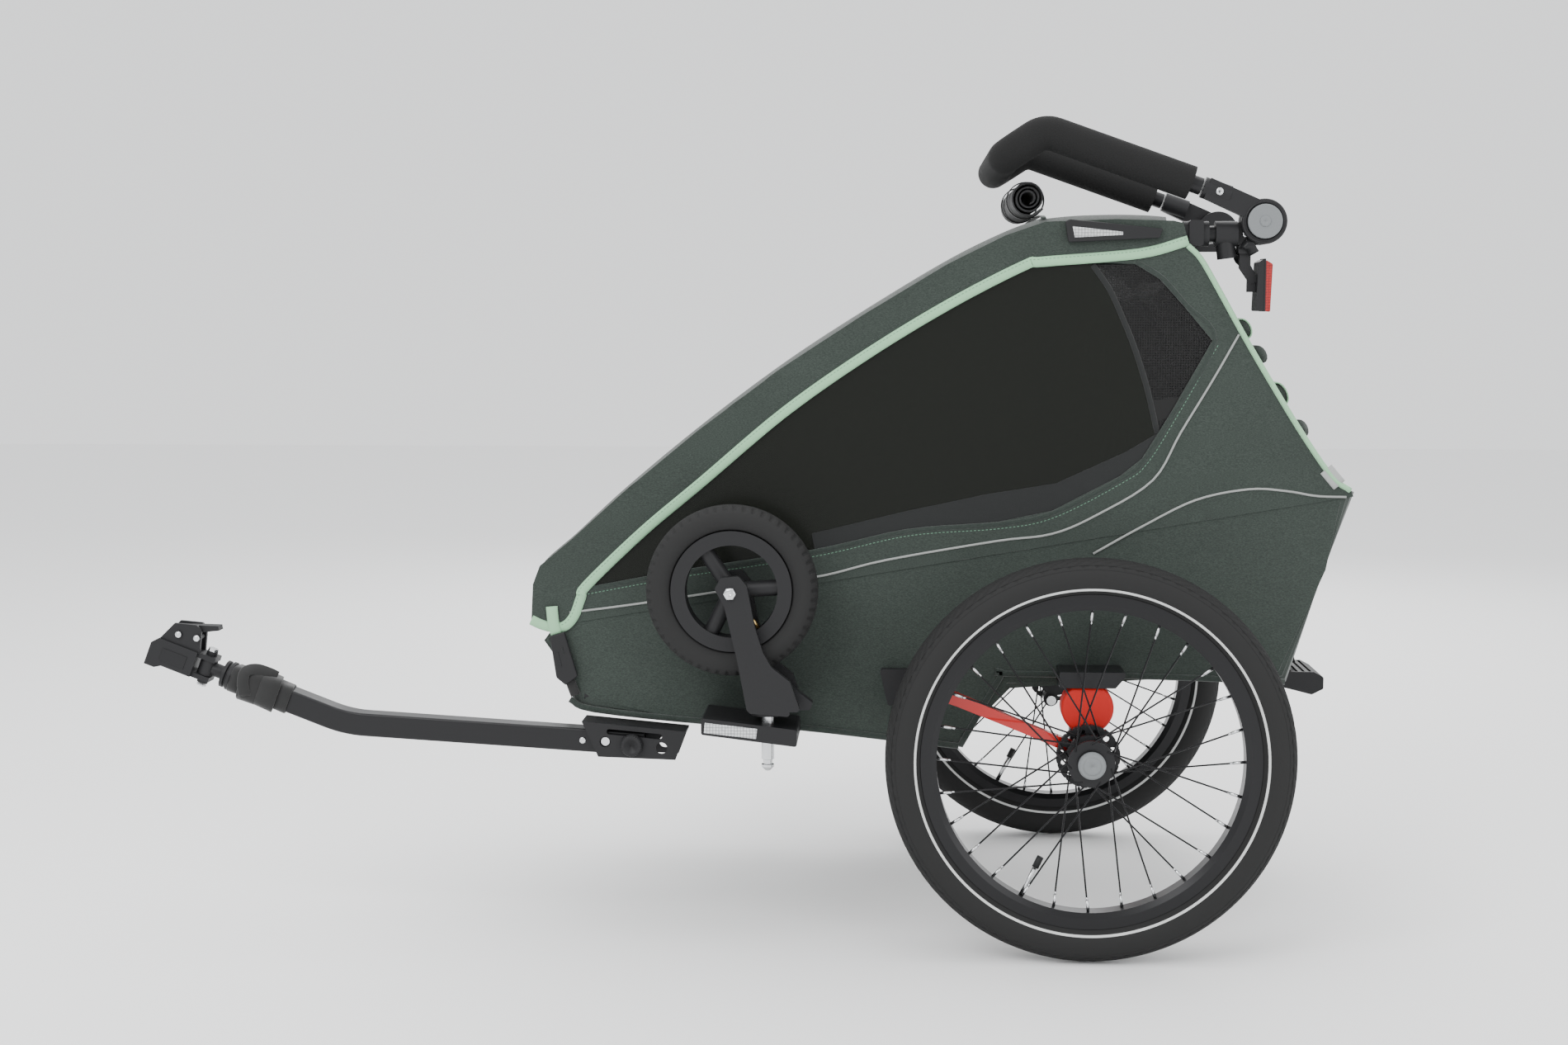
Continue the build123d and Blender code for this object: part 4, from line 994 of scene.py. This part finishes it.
# webbing wound round the tube, in overlapping turns: place, half size, width and tilt
for k, (u, half, w, tilt) in enumerate(((-20, 17.5, 26, 0.10), (2, 18.5, 26, -0.08), (22, 17.5, 24, 0.06),
                                        (-2, 21.5, 26, 0.2), (16, 21.5, 26, -0.16), (36, 17.0, 20, -0.1))):
    ring = []
    for q in turn(48):
        c, sn = math.cos(q), math.sin(q)
        p = (abs(c) ** 4 + abs(sn) ** 4) ** -0.25
        ring.append(nose(u + tilt * half * c * p, half * sn * p, BAR_Y + half * c * p))
    mid = sum(ring, Vector()) / len(ring)
    o = sweep(f"strap_turn_{k}", ring, strap_section(w, 2.0),
              lambda p, m=mid: (p - m) - AHEAD * (p - m).dot(AHEAD), WEB, "drawbar", True)
    if k == 0:
        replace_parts(o, "safety_strap")
tail = [nose(-8, 23, -232), nose(4, 25, -236), nose(20, 24.5, -240), nose(30, 18, -246), nose(28, 4, -249),
        nose(20, -12, -248)]
sweep("strap_tail", curve(tail, 6), strap_section(15, 1.8), (0, -1, 0.6), WEB, "drawbar")
# rivets, bolt and nut of the hitch head
for k, (u, v) in enumerate(((106, 34), (130, 30))):
    x, z = nose_xz(u, v)
    for s, lab in ((-1, "l"), (1, "r")):
        head = [(s * 16, 0.2), (s * 16, 4.6), (s * 17.2, 4.4), (s * 18.4, 2.6), (s * 18.8, 0.2)]
        lathe(f"rivet_{k}_{lab}", head, (x, BAR_Y, z), STEEL, "hitch", 24)
up = Vector((math.sin(BAR_RISE), 0, math.cos(BAR_RISE)))
for v, lab in ((23, "top"), (-23, "low")):
    c = nose(84, v)
    pts = [c - up * 0.001, c + up * (0.003 if v > 0 else -0.003)]
    sweep(f"hitch_nut_{lab}", pts, oval(13, 13, 6), (0, 1, 0), STEEL, "hitch", smooth=False)
prism("hitch_label_plate", rect(*nose_xz(126, -2), 34, 17, -21), -242.2, -242.9, SATIN, "hitch", 0.4)


def knurl(a, y, r):
    """Shallow flutes round the knob of the drawbar's pivot bolt."""
    return 0.7 * (1 if (a * 28 / (2 * math.pi)) % 1 < 0.5 else -0.2) if r > 11 and y < -1 else 0.0


lathe("pivot_knob", [(-0.2, 0.2), (-0.2, 13.4), (-7.4, 13.4), (-8.6, 12.0), (-8.6, 8.6), (-7.4, 8.0), (-7.4, 0.2)],
      BAR_BOLT, PLASTIC, "chassis", 168, knurl)
lathe("tube_screw_0", [(-15.1, 0.2), (-15.1, 4.4), (-16.2, 4.4), (-17, 3), (-17, 0.2)], (-645, BAR_Y, 256), STEEL,
      "drawbar", 24)

# ---------------------------------------------------------------- arm bolts, rear light's strap and gasket
for s, tag in SIDES:
    head = [(s * 288, 0.2), (s * 288, 6.5), (s * 290.5, 6.5), (s * 291.5, 5), (s * 291.5, 0.2)]
    lathe(f"arm_bolt_{tag}", head, ARM_PIVOT, STEEL, "chassis", 32)
    ring = [(s * 281.4, 6.6), (s * 281.4, 12), (s * 283, 12), (s * 283, 6.6)]
    lathe(f"arm_washer_{tag}", ring, ARM_PIVOT, PLASTIC, "chassis", 40)
strap = curve([(198, -170, 866), (186, -182, 884), (196, -205, 893), (206, -204, 880)], 6)
sweep("light_strap", [at(*p) for p in strap], strap_section(14, 2.2), (-0.6, -0.5, 0.6), SATIN, "top_frame")
prism("light_gasket", [(218.6, 874), (220.4, 873.6), (220.4, 807.6), (218.6, 807.6)], -171.4, -208.6, PLASTIC,
      "top_frame", 0.4)
